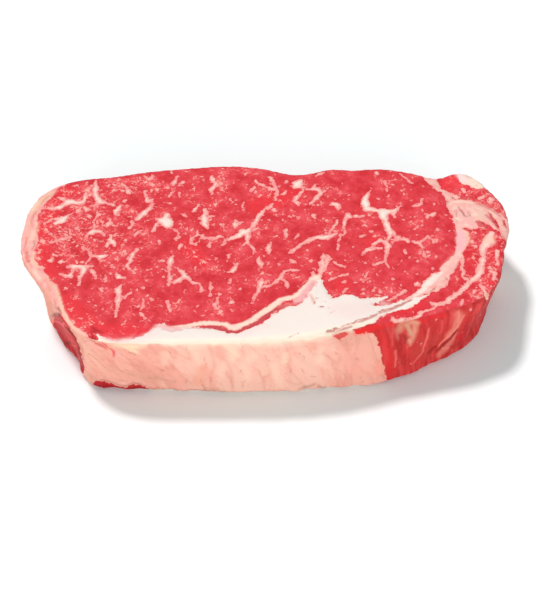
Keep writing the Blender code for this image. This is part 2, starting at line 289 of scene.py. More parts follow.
# %% Veins at the rim end of the eye
RIM_END_VEINS = [
    [(-68.8, 38.9, 0.8), (-68.4, 36.4, 1.9), (-68.6, 33.5, 2.3), (-68, 30.2, 2.3), (-67, 27.7, 2.6),
     (-65.9, 26.4, 3), (-64, 25.6, 1.2), (-60, 24, 0.6)],
    [(-83, 28.5, 1.2), (-80, 27.5, 1.6), (-78.4, 26.5, 2.6), (-77.2, 25.8, 3), (-74.7, 25.6, 2.6),
     (-72.6, 26, 2.3), (-72, 28.5, 2), (-72.2, 31.3, 1)],
    [(-78.4, 25.6, 2.1), (-80.5, 24.3, 1.9), (-82, 22.7, 2.6), (-84.3, 22.2, 1.9), (-87.6, 22.7, 1.2)],
    [(-76.2, 19.7, 0.7), (-78, 18, 1.2), (-79.7, 15.8, 3.6), (-82.2, 13.5, 1.4)],
    [(-79.7, 15.8, 3), (-81.8, 16.4, 1.4), (-83.2, 16.2, 0.7)],
    [(-86.5, 13.5, 0.8), (-85.2, 14.4, 1), (-84.2, 16, 0.8)],
    [(-69.5, 24.2, 1), (-67.5, 24.3, 1.3), (-66.5, 23.3, 1)],
    [(-71.5, 23, 1.2), (-70.9, 21, 1.4)],
    [(-57.2, 24, 1), (-58.2, 22.8, 2), (-59.2, 20.5, 2.8), (-58.8, 18.8, 2), (-57.6, 17.8, 0.9)],
    [(-66.4, 20.5, 1), (-65.9, 18.5, 1.7), (-66.4, 17.2, 0.9)],
    [(-69.5, 17.3, 1.7), (-70.2, 18, 0.8)],
    [(-61.5, 16.2, 0.8), (-61, 14, 1.5), (-61.6, 12.4, 1.9)],
    [(-69.5, 6.3, 1), (-68.4, 8.2, 1.9), (-66.7, 9, 2.3), (-64.7, 9.2, 1.9), (-63.5, 8, 1.3),
     (-63, 6.4, 0.8)],
    [(-66.8, 10.5, 0.9), (-67.4, 13.5, 1.1), (-67.2, 16, 0.8)],
    [(-73.4, 10.8, 1.6), (-72.4, 9.8, 1.3)],
    [(-76.3, 10.5, 0.8), (-75.8, 8, 1), (-74.2, 7.3, 1)],
    [(-82.7, 2.8, 1), (-81.3, 3.7, 1.3), (-79.3, 4.4, 1.4), (-77.2, 5, 1.2), (-75.9, 6.2, 0.9)],
    [(-84, 7, 1.4), (-82.6, 7.7, 1.1)],
    [(-60.3, 6.6, 1.1), (-60, 4.2, 2.3), (-59.2, 2.5, 2.1), (-58.2, 1.2, 1)],
    [(-60.6, 2.4, 1.4), (-61.2, 0.5, 1)],
    [(-52.7, 15.5, 1), (-52.4, 13, 1.7), (-52.9, 11, 1.2)],
    [(-50.8, 15.6, 1.2), (-49.3, 17.8, 2.5), (-47.8, 19.8, 2.6), (-45.8, 22.5, 1.9), (-45, 25, 1)],
    [(-48.4, 32.3, 1.3), (-48.2, 31, 1.1), (-48, 29, 1), (-47.3, 27, 1.9), (-46.3, 26.3, 2),
     (-45.4, 27.7, 0.9)],
    [(-38.4, 19.7, 0.9), (-39.4, 17.2, 3), (-39.5, 15.3, 5), (-38.3, 12.6, 4.4), (-37.4, 11, 1.2),
     (-35.2, 9.5, 0.9), (-33.6, 7.6, 1.3), (-34, 6, 1.1), (-35.2, 4.6, 1)],
    [(-40, 15.8, 3), (-42.8, 16, 1.2)],
    [(-42.6, 13.2, 1.7), (-43.2, 11.6, 1.9), (-44, 9, 0.9)],
    [(-41.5, 3.6, 1.2), (-41.2, 2, 1.2)],
    [(-49.6, 41.8, 1), (-48.5, 40.2, 1.4), (-47.2, 39.6, 1.4), (-46.2, 41, 1.1), (-45.8, 42.2, 0.7)],
    [(-38.6, 45.5, 1), (-38.6, 43, 0.7)],
    [(-36, 41.2, 0.9), (-37.1, 38, 1.6), (-37.6, 36.4, 1.6)],
    [(-33.8, 38.2, 1.6), (-34.8, 36.4, 1.2)],
    [(-37.6, 31.6, 1.2), (-38.8, 29.4, 1.2)],
    [(-35.1, 31.8, 1.3), (-34.6, 30.2, 1.6)],
    [(-38.2, 25.2, 1.3)],
    [(-58.7, 37.8, 0.8), (-58, 36.4, 1.3), (-56.2, 34.4, 1.1), (-55, 32.8, 1.8), (-54.8, 31, 0.9)],
    [(-56.3, 26.7, 1.6)],
    [(-77.6, 36.4, 1), (-75.8, 36.2, 1)],
    [(-48.4, 9.6, 1), (-50, 8.5, 1.4), (-51, 7.2, 1)],
    [(-75.3, -10.4, 1), (-73, -10, 2.3), (-70.5, -10.4, 2.5), (-68, -10, 2.1), (-65.5, -9.9, 0.9)],
    [(-73, -11, 1.6), (-72.8, -13, 1.3), (-73.4, -15, 2.3), (-74.8, -15.2, 1.7), (-77.8, -13.9, 0.7)],
    [(-68.8, -11.2, 2.4), (-69.2, -13.2, 2.1), (-69.9, -15.8, 1.9), (-70.1, -18.2, 1.5), (-70.3, -20.4, 1)],
    [(-66.2, -12, 1.3), (-65.1, -13.6, 1.7), (-64.2, -15.2, 0.9)],
    [(-68.8, -0.7, 0.9), (-67.2, -2.8, 1), (-66.2, -4, 1.1), (-64.6, -4.4, 1.7), (-62.6, -4.8, 2.9),
     (-60.9, -4, 1.8)],
    [(-62.8, -5, 1.8), (-63, -7.2, 0.9)],
    [(-67, -4.5, 1), (-67.4, -6.5, 1.2), (-68.2, -8.6, 1)],
    [(-82, -7.2, 2), (-81.6, -6, 1.2)],
    [(-77.6, -7.4, 1.9)],
    [(-81, -4, 1.5), (-80, -4.8, 1)],
    [(-49.4, -1, 1), (-50.8, -3.5, 1.9), (-51.7, -5.3, 2.1), (-52, -7.5, 1.5), (-52.4, -9.5, 0.9),
     (-51.8, -11.2, 2.3)],
    [(-56, -14, 0.9), (-55.3, -15.8, 2.5), (-53.2, -15.9, 1)],
    [(-54.3, -20.3, 1), (-54.8, -22.3, 2.1), (-54.9, -24.8, 2), (-54.5, -27.3, 2), (-54.6, -29.8, 1.5),
     (-54.9, -32.3, 1.2), (-54.9, -36, 0.9)],
    [(-53.8, -25.7, 1.2), (-52.2, -26.5, 1.1), (-50.5, -24, 0.8)],
    [(-60.3, -15.2, 0.8), (-59.9, -18.6, 1)],
    [(-61.3, -22, 1.6), (-60.9, -23.4, 1)],
    [(-45.3, -27.8, 0.8), (-45.5, -31, 1.1), (-46, -32.8, 1.1)],
    [(-45.7, -34.4, 1.3), (-44.2, -36.8, 1)],
    [(-42.6, -27.3, 0.9), (-41.6, -28.4, 0.9)],
    [(-36.5, -28.2, 1.3), (-35.8, -30.2, 1.4), (-35.7, -33.4, 0.8)],
    [(-35.5, -4.8, 1.1), (-36.3, -7.3, 2.3), (-36.8, -9.8, 1.3), (-36.4, -13.2, 1.2), (-35.9, -16.5, 1.7),
     (-36.4, -19.6, 1.2)],
    [(-39.2, -11.5, 0.8), (-37.2, -13, 0.9)],
    [(-34.3, -14.5, 1.1), (-35.8, -17, 1)],
    [(-45.8, -21.6, 1.2)],
]
print(len(RIM_END_VEINS), "veins at the rim end")

# %% Veins in the middle of the eye
MIDDLE_VEINS = [
    [(-21.9, 41.4, 1.8), (-21.8, 39.3, 2.1), (-20.7, 37.2, 1.7), (-21.2, 35, 2.1), (-22.4, 33, 1.6),
     (-22, 31, 1)],
    [(-20.2, 37.4, 1.6), (-19.7, 35.2, 1.2)],
    [(-17.7, 40.5, 0.9), (-17.5, 38.5, 0.8)],
    [(-25.9, 40.2, 0.8), (-25.4, 39, 1.1)],
    [(-26.7, 24.4, 0.8), (-27.8, 22.3, 1.9), (-28.8, 20.7, 1.7)],
    [(-24.2, 22.2, 0.9), (-24, 19.3, 1.7), (-24.3, 16.4, 3.3), (-24.1, 14.2, 3.1), (-23.5, 12.2, 2.1),
     (-22.8, 10.6, 0.9)],
    [(-24, 16.8, 1.6), (-20.8, 17.8, 0.8)],
    [(-24.5, 16.4, 1.8), (-27, 16.4, 0.8)],
    [(-24, 14, 1.4), (-26.1, 13.9, 0.8)],
    [(-18, 12.8, 1.5)],
    [(-12.1, 14.8, 1.2), (-12.2, 13, 2.3), (-12.4, 11.4, 1.1)],
    [(-12, 13.2, 1.3), (-9.6, 14.1, 0.8)],
    [(-14.6, 27.4, 0.9), (-13.2, 25.6, 0.9)],
    [(-9.2, 25.8, 0.8), (-9.6, 23.4, 1.1), (-9.4, 21.5, 0.9)],
    [(-4.8, 34.6, 1.3), (-6.3, 32.4, 1)],
    [(-7.8, 43.8, 0.7), (-9, 41.8, 0.7)],
    [(1.2, 40.6, 1.6), (2.3, 38, 1.7), (3.2, 35.6, 1.4), (3.8, 32.8, 1.5), (4, 30.4, 1.8)],
    [(-4.4, 39, 1.2), (-3.4, 36.8, 1.2), (-0.7, 34.8, 1.3), (1.4, 33.3, 1.4), (3.4, 32.8, 1.3)],
    [(3, 28.4, 1.2), (3.4, 27, 0.8)],
    [(5.2, 30.6, 1), (6.6, 30.4, 1.3), (7.8, 32.4, 0.9)],
    [(13.2, 38.4, 2.6), (12.4, 36.6, 4), (10.6, 35, 2), (13, 34.9, 2)],
    [(8, 38.4, 1.2), (7.4, 37.4, 0.8)],
    [(14.4, 34.6, 1.3), (14.2, 32.3, 1.3), (13, 30.2, 1.5), (11.6, 27.8, 2.1), (10.8, 26.4, 1.9)],
    [(12.2, 24.9, 2.3), (11, 26, 1.4)],
    [(16.4, 33.4, 1.1), (18.5, 33.6, 1.9), (20.2, 33.8, 1.9), (21.3, 32.7, 1.7), (21, 30.7, 2.1),
     (19.8, 29, 1.9), (18.6, 26.9, 1.4), (17.2, 24.5, 1)],
    [(19.2, 37.4, 0.9), (18.9, 34.6, 1.1)],
    [(24.3, 34.8, 0.9), (22.5, 32, 0.9)],
    [(26, 24.9, 1.9), (27.7, 24.4, 2.3), (28.4, 21.8, 1)],
    [(18.1, 18.2, 1.7), (19, 16.4, 1.3)],
    [(9, 17.4, 1.6)],
    [(5.8, 15.9, 1.1)],
    [(-24.6, 6.6, 1.2), (-24, 5.4, 1.1), (-22, 5, 1.3), (-19.8, 5.2, 1.5), (-18, 6.2, 1.9), (-17, 5.2, 0.9),
     (-14.8, 4.6, 1.1), (-12.8, 5.4, 1.9), (-10.7, 6.9, 3), (-9, 8.5, 3.7), (-7.4, 9.1, 3.3),
     (-6.6, 10.6, 1.7), (-4.9, 13.3, 1.7), (-4, 15.7, 1.9), (-3, 18, 2.1), (-1.6, 20, 1.7), (-0.4, 22, 1.1),
     (1.6, 23.4, 1.2), (2.3, 24.7, 1.1)],
    [(-7.3, 8, 2.6), (-7.4, 5.2, 1.7), (-7.3, 3.2, 1.7), (-5.8, 1, 1), (-4.8, -0.9, 1.2), (-4.9, -3, 0.8)],
    [(-7.4, 3.4, 1.4), (-8.3, 2, 0.9), (-8.8, 1, 0.7)],
    [(-22, 4.6, 1.2), (-21.6, 3, 1.1), (-21.9, -0.4, 0.9)],
    [(-15.4, 4.6, 1.1), (-16.1, 2.4, 1), (-17, 1.4, 0.7)],
    [(-5.4, 10.2, 1), (-3.2, 10.6, 0.9)],
    [(2.9, 21.5, 1.9)],
    [(-26.8, 9.3, 0.9), (-26.3, 7.3, 1.3), (-27.4, 6, 1.1), (-29, 4, 1.4), (-28.8, 2.6, 1.2),
     (-27.5, 1.5, 1.1), (-26.4, 3.2, 0.8), (-25.2, 5, 0.7)],
    [(-31.6, 17.4, 1.1), (-32.4, 18.8, 0.8)],
    [(-30.9, 10.4, 1.1)],
    [(-32.4, 1.4, 1.7), (-33.4, -0.4, 1)],
    [(9.3, -3, 1), (10.2, -1.5, 1.5), (11.6, -0.2, 1.3), (13, 1.3, 1.3), (15.6, 3.4, 1.7), (18.1, 4.9, 1.9),
     (20.6, 5.5, 2.5), (23.1, 5.6, 2.3), (25.2, 6.8, 1.7), (26.7, 7.7, 1)],
    [(24.2, 7.6, 1.1), (24.8, 10, 1.1), (26, 11.4, 1.2), (27, 13.5, 1.6), (27.6, 15.4, 1)],
    [(22.4, 10.2, 0.8), (22.7, 8.2, 0.8)],
    [(31.8, 18.9, 2), (30.8, 16, 1.5), (30.4, 13.9, 1.7), (30.2, 11.8, 1.1), (30.6, 9.3, 0.9),
     (30.1, 7.7, 0.9), (28.4, 6.8, 0.9), (28, 4.3, 0.9), (27.5, 1.8, 0.9), (27.4, -1, 0.8)],
    [(32.2, 17.8, 2.4)],
    [(7.2, 9.4, 1.3), (7.6, 7, 1.2), (7.3, 4.4, 0.9)],
    [(12.2, 7.4, 0.9), (11, 4.8, 0.9)],
    [(1.6, 3.8, 0.9), (1.3, 1.2, 1.4), (0.7, -0.6, 2.4), (0.8, -2.9, 1)],
    [(19.5, 42.2, 1), (21.5, 43.4, 1.8), (22.8, 43.8, 1)],
    [(30.6, 36.9, 1.1)],
    [(-33.6, -11.1, 1.1), (-31.5, -13.2, 1.7), (-30.2, -15.2, 2.2), (-28.6, -17.3, 1.5), (-27.3, -19, 1.3),
     (-25.3, -19.4, 1.3), (-24.4, -21, 1.2), (-24.2, -23.2, 0.9)],
    [(-30.6, -15.6, 1.7), (-32.7, -17.4, 1.9), (-34, -18.7, 1.2)],
    [(-14, -4, 1.4), (-14.2, -5.4, 1)],
    [(-26.7, -10.2, 1), (-26.3, -12.3, 0.8)],
    [(-12.2, -8.8, 1), (-10.9, -8.8, 1.5), (-11.8, -10.6, 2.1), (-12.9, -12.8, 1.9), (-14.2, -13.4, 1)],
    [(-13.2, -17, 0.9), (-13.9, -19.2, 1)],
    [(-20.8, -19, 1), (-20.7, -22.4, 0.8), (-20.9, -25.7, 0.8)],
    [(-17.1, -24.8, 0.8), (-18.2, -27.8, 1.2), (-18.6, -30.2, 1.4), (-18.1, -32.6, 1.1)],
    [(-13, -29, 1.9)],
    [(-9.6, -22.3, 1.3)],
    [(-7.5, -17.8, 1.3)],
    [(-2.1, -17, 0.9), (-2.1, -19.2, 2.3), (-2.5, -22.3, 1.6), (-3.6, -24.8, 1.1), (-4.6, -27.3, 1.2),
     (-5, -29.4, 0.9)],
    [(-3, -5.3, 0.9), (-2.8, -7.3, 1.5), (-1.9, -9.4, 1.4), (-1.7, -10.8, 0.8)],
    [(-1, -21.6, 0.8), (1.4, -20.2, 1.1), (3.5, -18.6, 1.3), (5.2, -16.9, 1.3), (6, -14.4, 1.3),
     (6.9, -13, 1.5), (9.4, -12.3, 1.5), (12.2, -12.4, 1.1)],
    [(6, -17.2, 1.1), (7.3, -18.6, 1.3), (7.7, -20.8, 0.9)],
    [(9, -7.2, 1.6), (10.6, -8, 1.5)],
    [(4.8, -8.9, 1.2)],
    [(26, -7.8, 1.2), (26.9, -9.4, 1.4), (28.9, -10.2, 1.1)],
    [(23.5, -17.3, 0.8), (25.6, -16, 0.8), (28, -14.8, 0.8), (30.2, -14.4, 0.7)],
    [(28.9, -18.2, 1.3)],
    [(29.6, -22.2, 1.2), (29.1, -24, 0.9)],
]
print(len(MIDDLE_VEINS), "veins in the middle")

# %% Veins at the cap end of the eye
CAP_END_VEINS = [
    [(40.7, 31.8, 1.1), (39.9, 30.2, 1.9), (39.3, 27.7, 3), (38.9, 25.2, 3.6), (39.1, 22.8, 3.2),
     (40.3, 21.9, 2.8), (42.4, 21.3, 2.4), (44.9, 20.6, 3), (47.4, 20.4, 3), (49.9, 20.6, 2.1),
     (51.6, 21.8, 1.4), (52.2, 22.9, 0.9)],
    [(45.8, 19.6, 4), (46, 16.4, 2.9), (46.4, 13.5, 2.5), (47.2, 11, 2.7), (48, 8.9, 2.3), (47.8, 6.4, 1.9),
     (47.2, 4.8, 1.3)],
    [(49.6, 19.6, 2), (49.9, 17, 1.1)],
    [(49, 8, 1.5), (50.3, 5.8, 1.3), (51, 4.8, 0.9)],
    [(38.2, -1.6, 1.3), (40.8, 1.4, 1.3), (42.4, 3.5, 1.3), (44.1, 4.5, 1.5), (45.8, 3.5, 1.6),
     (46.6, 1.6, 1.7), (46.3, -1.5, 1.5), (45.5, -4.8, 1.3), (45.1, -7.3, 1.2), (45.3, -9, 1.1),
     (46, -11, 0.8)],
    [(44, 0, 1), (40.4, -0.6, 1.5), (37.8, -2.1, 1.5), (36.8, -3.4, 1.1)],
    [(44.8, -7.5, 1.1), (42.4, -8.6, 1.1), (40.3, -9.2, 0.8)],
    [(47.8, 4.8, 0.9), (49.9, 4.3, 1), (52, 4.8, 1), (53.7, 4.3, 1.5), (54.5, 3.1, 1.3)],
    [(48.7, 3, 1.2)],
    [(56.6, 3.5, 1.4), (57.8, 2.7, 1.4), (59.1, 1.4, 1.1), (59.7, 0.2, 0.8)],
    [(59.1, 3.1, 0.8), (60.8, 4.7, 0.9), (62.4, 6, 1.6), (63.7, 4.3, 1), (64.5, 2.7, 0.8)],
    [(61.8, 27.7, 0.9), (60.8, 25.2, 1.1), (59.5, 23.9, 1.1), (57.8, 23.5, 1)],
    [(62.6, 19.3, 0.9), (63, 18, 1.4), (62.8, 16.4, 1)],
    [(63, 17.8, 1.1), (64.4, 18.4, 1.1), (66.2, 19.5, 0.9)],
    [(54.1, 42.7, 0.8), (55.3, 41, 0.8), (57.8, 37.3, 0.7)],
    [(44.2, 44, 1.6), (44.8, 43, 1)],
    [(34.8, 17.9, 1.7), (35.8, 17.6, 1.1), (37.8, 17.7, 1.3)],
    [(36.4, 6.4, 1.1), (38.4, 7.4, 0.8)],
    [(60.1, -2.4, 1.3), (60.3, -5.3, 1.1)],
    [(52.8, -1, 0.9), (52.9, -3, 1)],
    [(38, -13.6, 0.9), (37.4, -16, 1)],
    [(40.4, -21.5, 1), (39.5, -23, 0.9)],
    [(56.4, -18.8, 2)],
    [(47.6, 39, 0.9), (47.7, 36, 0.8), (48, 32.6, 0.8)],
    [(41.8, 34.6, 0.8), (41.4, 33, 0.8)],
]
CAP_END_SPECKS = [
    (54.3, 31, 1.2), (44.5, 28, 1.3), (53, 23.7, 1.2), (56, 14.4, 1.3), (53.2, 15.6, 1.3), (60.3, 12.7, 1.2),
    (57.4, 10.6, 1), (62.8, 35.2, 1.1), (66.2, 10.2, 1.1), (71.2, 10.2, 1.2), (32.8, 30.6, 1.1),
    (40.7, 9.3, 1.4), (54.3, -5.2, 1), (51.2, -7, 1.1), (61.6, -2.4, 1), (62.8, -11, 1.3), (47.8, -11.3, 1.3),
    (56.8, -14, 1.1), (47.4, -16.7, 1.3), (41.8, -14.4, 1.1), (36.2, -18.4, 1.3), (42.4, -23.6, 1.1),
    (35.8, -22.3, 1.2), (37.4, -8.4, 1.2), (50, -19.8, 1), (58.2, 17.2, 1), (33, 0.6, 1.2), (67, 15, 0.9),
    (39, -18.4, 1), (57.4, -7.5, 1),
]
CAP_END_VEINS += [[speck] for speck in CAP_END_SPECKS]
print(len(CAP_END_VEINS), "veins at the cap end")

# %% Lean that shows through the fat, and fine dark creases
LEAN_STROKES = [
    [(-24, -41.5, 0.4), (-19.8, -41.1, 0.7), (-17.3, -41.2, 1), (-15.2, -42.3, 1.1), (-13.2, -43.5, 1.2),
     (-11.1, -43.9, 1.3), (-9, -42.8, 1.2), (-6.9, -41.2, 1.2), (-4, -39.8, 1.6), (-1.9, -38, 1.5),
     (-0.2, -35.8, 1.2), (1.4, -34, 1.2), (3.5, -32.4, 1), (5.6, -30.8, 0.9), (8, -30, 0.5)],
    [(-63, -40.5, 0.6), (-61.8, -43.4, 1.6), (-60.2, -43.6, 1.8), (-59, -44.4, 0.6)],
    [(-63.5, -43, 0.8), (-61.8, -47, 0.9), (-59.5, -50.5, 0.9), (-57.5, -53, 0.6)],
    [(87.4, 19.6, 0.8), (88.3, 15.6, 2), (90.3, 11, 1)],
    [(92.2, 15.6, 1.1), (92.8, 12.6, 0.8)],
    [(82.6, 15, 1), (84.3, 13.2, 1.3), (85.2, 11.6, 0.8)],
    [(76.6, 11, 0.5), (78.4, 10.8, 0.8), (79.6, 9.4, 0.6)],
]
CREASES = [
    [(22, -43.8, 0.5), (25.2, -42.5, 0.8), (29.8, -40.6, 0.6), (33.7, -38.7, 0.6), (36.2, -37.7, 0.8),
     (39.5, -35.7, 0.8), (42.4, -33.2, 0.9), (44.9, -32.1, 0.7), (47.4, -31.1, 0.7), (49.9, -29.5, 0.9),
     (52.4, -28.2, 0.8), (54.3, -26.8, 0.5)],
    [(20, -32, 1.2), (20.8, -31.9, 1)],
    [(18.6, -27.4, 0.6), (19.2, -27.8, 0.5)],
    [(17, -26.6, 0.5), (17.6, -28.4, 0.6), (18, -30.4, 0.5)],
    [(21.6, -29.2, 0.6), (22.3, -29.5, 0.5)],
    [(23.4, -34.9, 0.5), (25.2, -34, 0.5)],
    [(23, -32.7, 0.5), (23.7, -32.9, 0.4)],
    [(8.5, -46, 0.4), (12, -44.8, 0.6)],
    [(14.3, -24.4, 0.4), (14.8, -26, 0.4)],
    [(19.2, -17.8, 0.4), (18.4, -20.5, 0.4)],
    [(72.2, 29.4, 0.5), (72.3, 26.4, 0.5)],
    [(75.3, 23.9, 0.4), (76.6, 20.4, 0.6), (77.8, 18, 0.5)],
    [(74.5, 22.8, 0.4), (74.8, 20.2, 0.4)],
    [(74.6, 16.4, 0.4), (74.4, 14.6, 0.4)],
    [(73.9, 30.3, 0.6), (75, 28.4, 0.5)],
    [(67.3, -16.2, 0.9), (67.7, -17, 0.6)],
    [(65.2, -21, 0.8)],
    [(63.2, -20.4, 0.5), (61.2, -23.2, 0.6)],
    [(72.6, -9, 0.5), (70.8, -12.6, 0.7)],
    [(81.2, 41.8, 0.7), (80.7, 43, 0.5)],
    [(82.8, 38.2, 0.7)],
    [(84.4, 36.4, 0.7)],
    [(86.6, 33.1, 0.7)],
    [(-77, -32.2, 0.9), (-76, -34.2, 0.6)],
    [(-89.9, -6.5, 0.6), (-89.7, -8, 0.5)],
    [(-91.6, -2, 0.6), (-91, -4.5, 0.5)],
]
WHITE_CORE = [[(66, -12.5, 2), (63, -16, 3.4), (60, -19.6, 4), (57.6, -23, 2.6), (54.5, -26, 1)]]
print(len(LEAN_STROKES), "strokes of lean,", len(CREASES), "creases")

# %% [markdown]
# ## The side wall
#
# The knife cuts straight down, so what reaches the edge of the cut face also shows on the wall below it. A
# point on the wall therefore looks up its fat at the rim above it, and a point on the underside looks it up
# as if the underside filled the same outline. The long front wall is drawn by itself, in x and height: fat
# with slanting folds on the left, bare cap muscle on the right.

# %% Where each point looks up the drawing
flat = np.empty(len(steak.data.vertices) * 3)
steak.data.vertices.foreach_get("co", flat)
points = flat.reshape(-1, 3) / MM
steak.data.vertices.foreach_get("normal", flat)
normals = flat.reshape(-1, 3).copy()
angle = np.arctan2(points[:, 1], points[:, 0])
reach = np.hypot(points[:, 0], points[:, 1])

SPOKES = 240
LEVELS = np.linspace(1.5, TOP - 1.5, 8)
spoke = np.round((angle + math.pi) / (2 * math.pi) * SPOKES).astype(int) % SPOKES
outline = np.zeros((len(LEVELS), SPOKES))
for row, level in enumerate(LEVELS):
    band = np.abs(points[:, 2] - level) < 2.2
    np.maximum.at(outline[row], spoke[band], reach[band])


def outline_reach(rows, at_angle):
    """How far the outline lies from the middle, at a level (a row number, whole or not) and an angle."""
    turn = (at_angle + math.pi) / (2 * math.pi) * SPOKES
    left = np.floor(turn).astype(int)
    across = turn - left
    below = np.clip(np.floor(rows).astype(int), 0, len(LEVELS) - 2)
    up = np.clip(rows - below, 0.0, 1.0)
    corner = [[outline[below + i, (left + j) % SPOKES] for j in (0, 1)] for i in (0, 1)]
    lower_row = corner[0][0] * (1 - across) + corner[0][1] * across
    upper_row = corner[1][0] * (1 - across) + corner[1][1] * across
    return lower_row * (1 - up) + upper_row * up


level_row = (points[:, 2] - LEVELS[0]) / (LEVELS[1] - LEVELS[0])
rim_reach = outline_reach(np.full(len(points), len(LEVELS) - 1.0), angle)
grow = rim_reach / outline_reach(np.clip(level_row, 0, len(LEVELS) - 1), angle)
upper = ramp(normals[:, 2], 0.3, 0.8)
lower = ramp(-normals[:, 2], 0.3, 0.8)
side = 1 - upper - lower
places = points[:, :2] * (upper + (1 - upper) * grow)[:, None]
print("on the upper face:", int((upper > 0.5).sum()), "points; on the wall:", int((side > 0.5).sum()))

# %% Places along the wall, for patterns that run down it
turns = np.linspace(-math.pi, math.pi, 721)
ring = outline_reach(np.full(len(turns), len(LEVELS) - 1.0), turns)
ring_x, ring_y = ring * np.cos(turns), ring * np.sin(turns)
steps = np.hypot(np.diff(ring_x), np.diff(ring_y))
lengths = np.concatenate([[0.0], np.cumsum(steps)])
around = np.interp(angle, turns, lengths)
girth = lengths[-1]
front = side * ramp(-points[:, 1], 8, 20)
SLANT = 0.42  # how far a fold of the side fat moves to the right for each millimetre down
slanted = around - SLANT * (TOP - points[:, 2]) * ramp(-points[:, 0], -36, -18)
turn = slanted * 2 * math.pi / girth
wall_place = np.stack([np.cos(turn), np.sin(turn)], axis=1) * girth / (2 * math.pi)
wall_place = np.concatenate([wall_place, points[:, 2:]], axis=1)
print("girth in mm:", round(girth, 1))

# %% Lean and fat on the wall, by how far round and how high
BARE_MUSCLE = [
    (158, 33), (158.6, 26), (160.5, 25.4), (161.6, 23.5), (161.8, 20), (162.1, 17), (162.6, 14.5),
    (162.2, 12),
    (163, 9), (163.5, 6), (163.8, 3), (163.6, -3), (270, -3), (270, 33),
]
LEFT_STRIP = [
    (8, -3), (14, 3), (18, 7), (23, 12), (27.5, 16), (31.5, 20), (35, 24), (38.5, 28), (40, 31), (44, 31),
    (47, 28), (49.5, 25.2), (50.6, 21), (50.4, 17), (49.8, 13), (49.5, 8), (48.5, 3), (47, -3),
]
# lean along the foot at the front left, partly a painted shadow in the gap where the edge lifts off the table
FOOT_STRIP_AND_SHADOW_GAP = [
    (53.6, -3), (54.2, 2.8), (55.4, 4.4), (58, 4.8), (61, 4), (64, 3.3), (68, 4), (72, 3.7), (75, 2.4),
    (77, -3),
]
WALL_LEAN_STROKES = [
    [(53, 29.4, 0.6), (56, 29.3, 1.2), (58.6, 28.8, 1), (60.4, 28, 0.5)],
    [(147, 27.6, 1.6), (149, 27.4, 3), (151, 27.8, 2)],
    [(153.6, 28.2, 1.6), (156, 27.6, 3.4), (158.5, 27.6, 3.4), (161, 27.8, 3.4)],
]
WALL_FAT_STROKES = [
    [(169.5, 28.2, 0.8), (174, 28.8, 1.4), (179, 28.7, 1.2), (183, 28.9, 0.7)],
    [(207.4, 30, 1.6), (208, 27.5, 1.9), (208.8, 25.4, 1)],
]
print(len(WALL_LEAN_STROKES) + len(WALL_FAT_STROKES), "strokes on the wall")
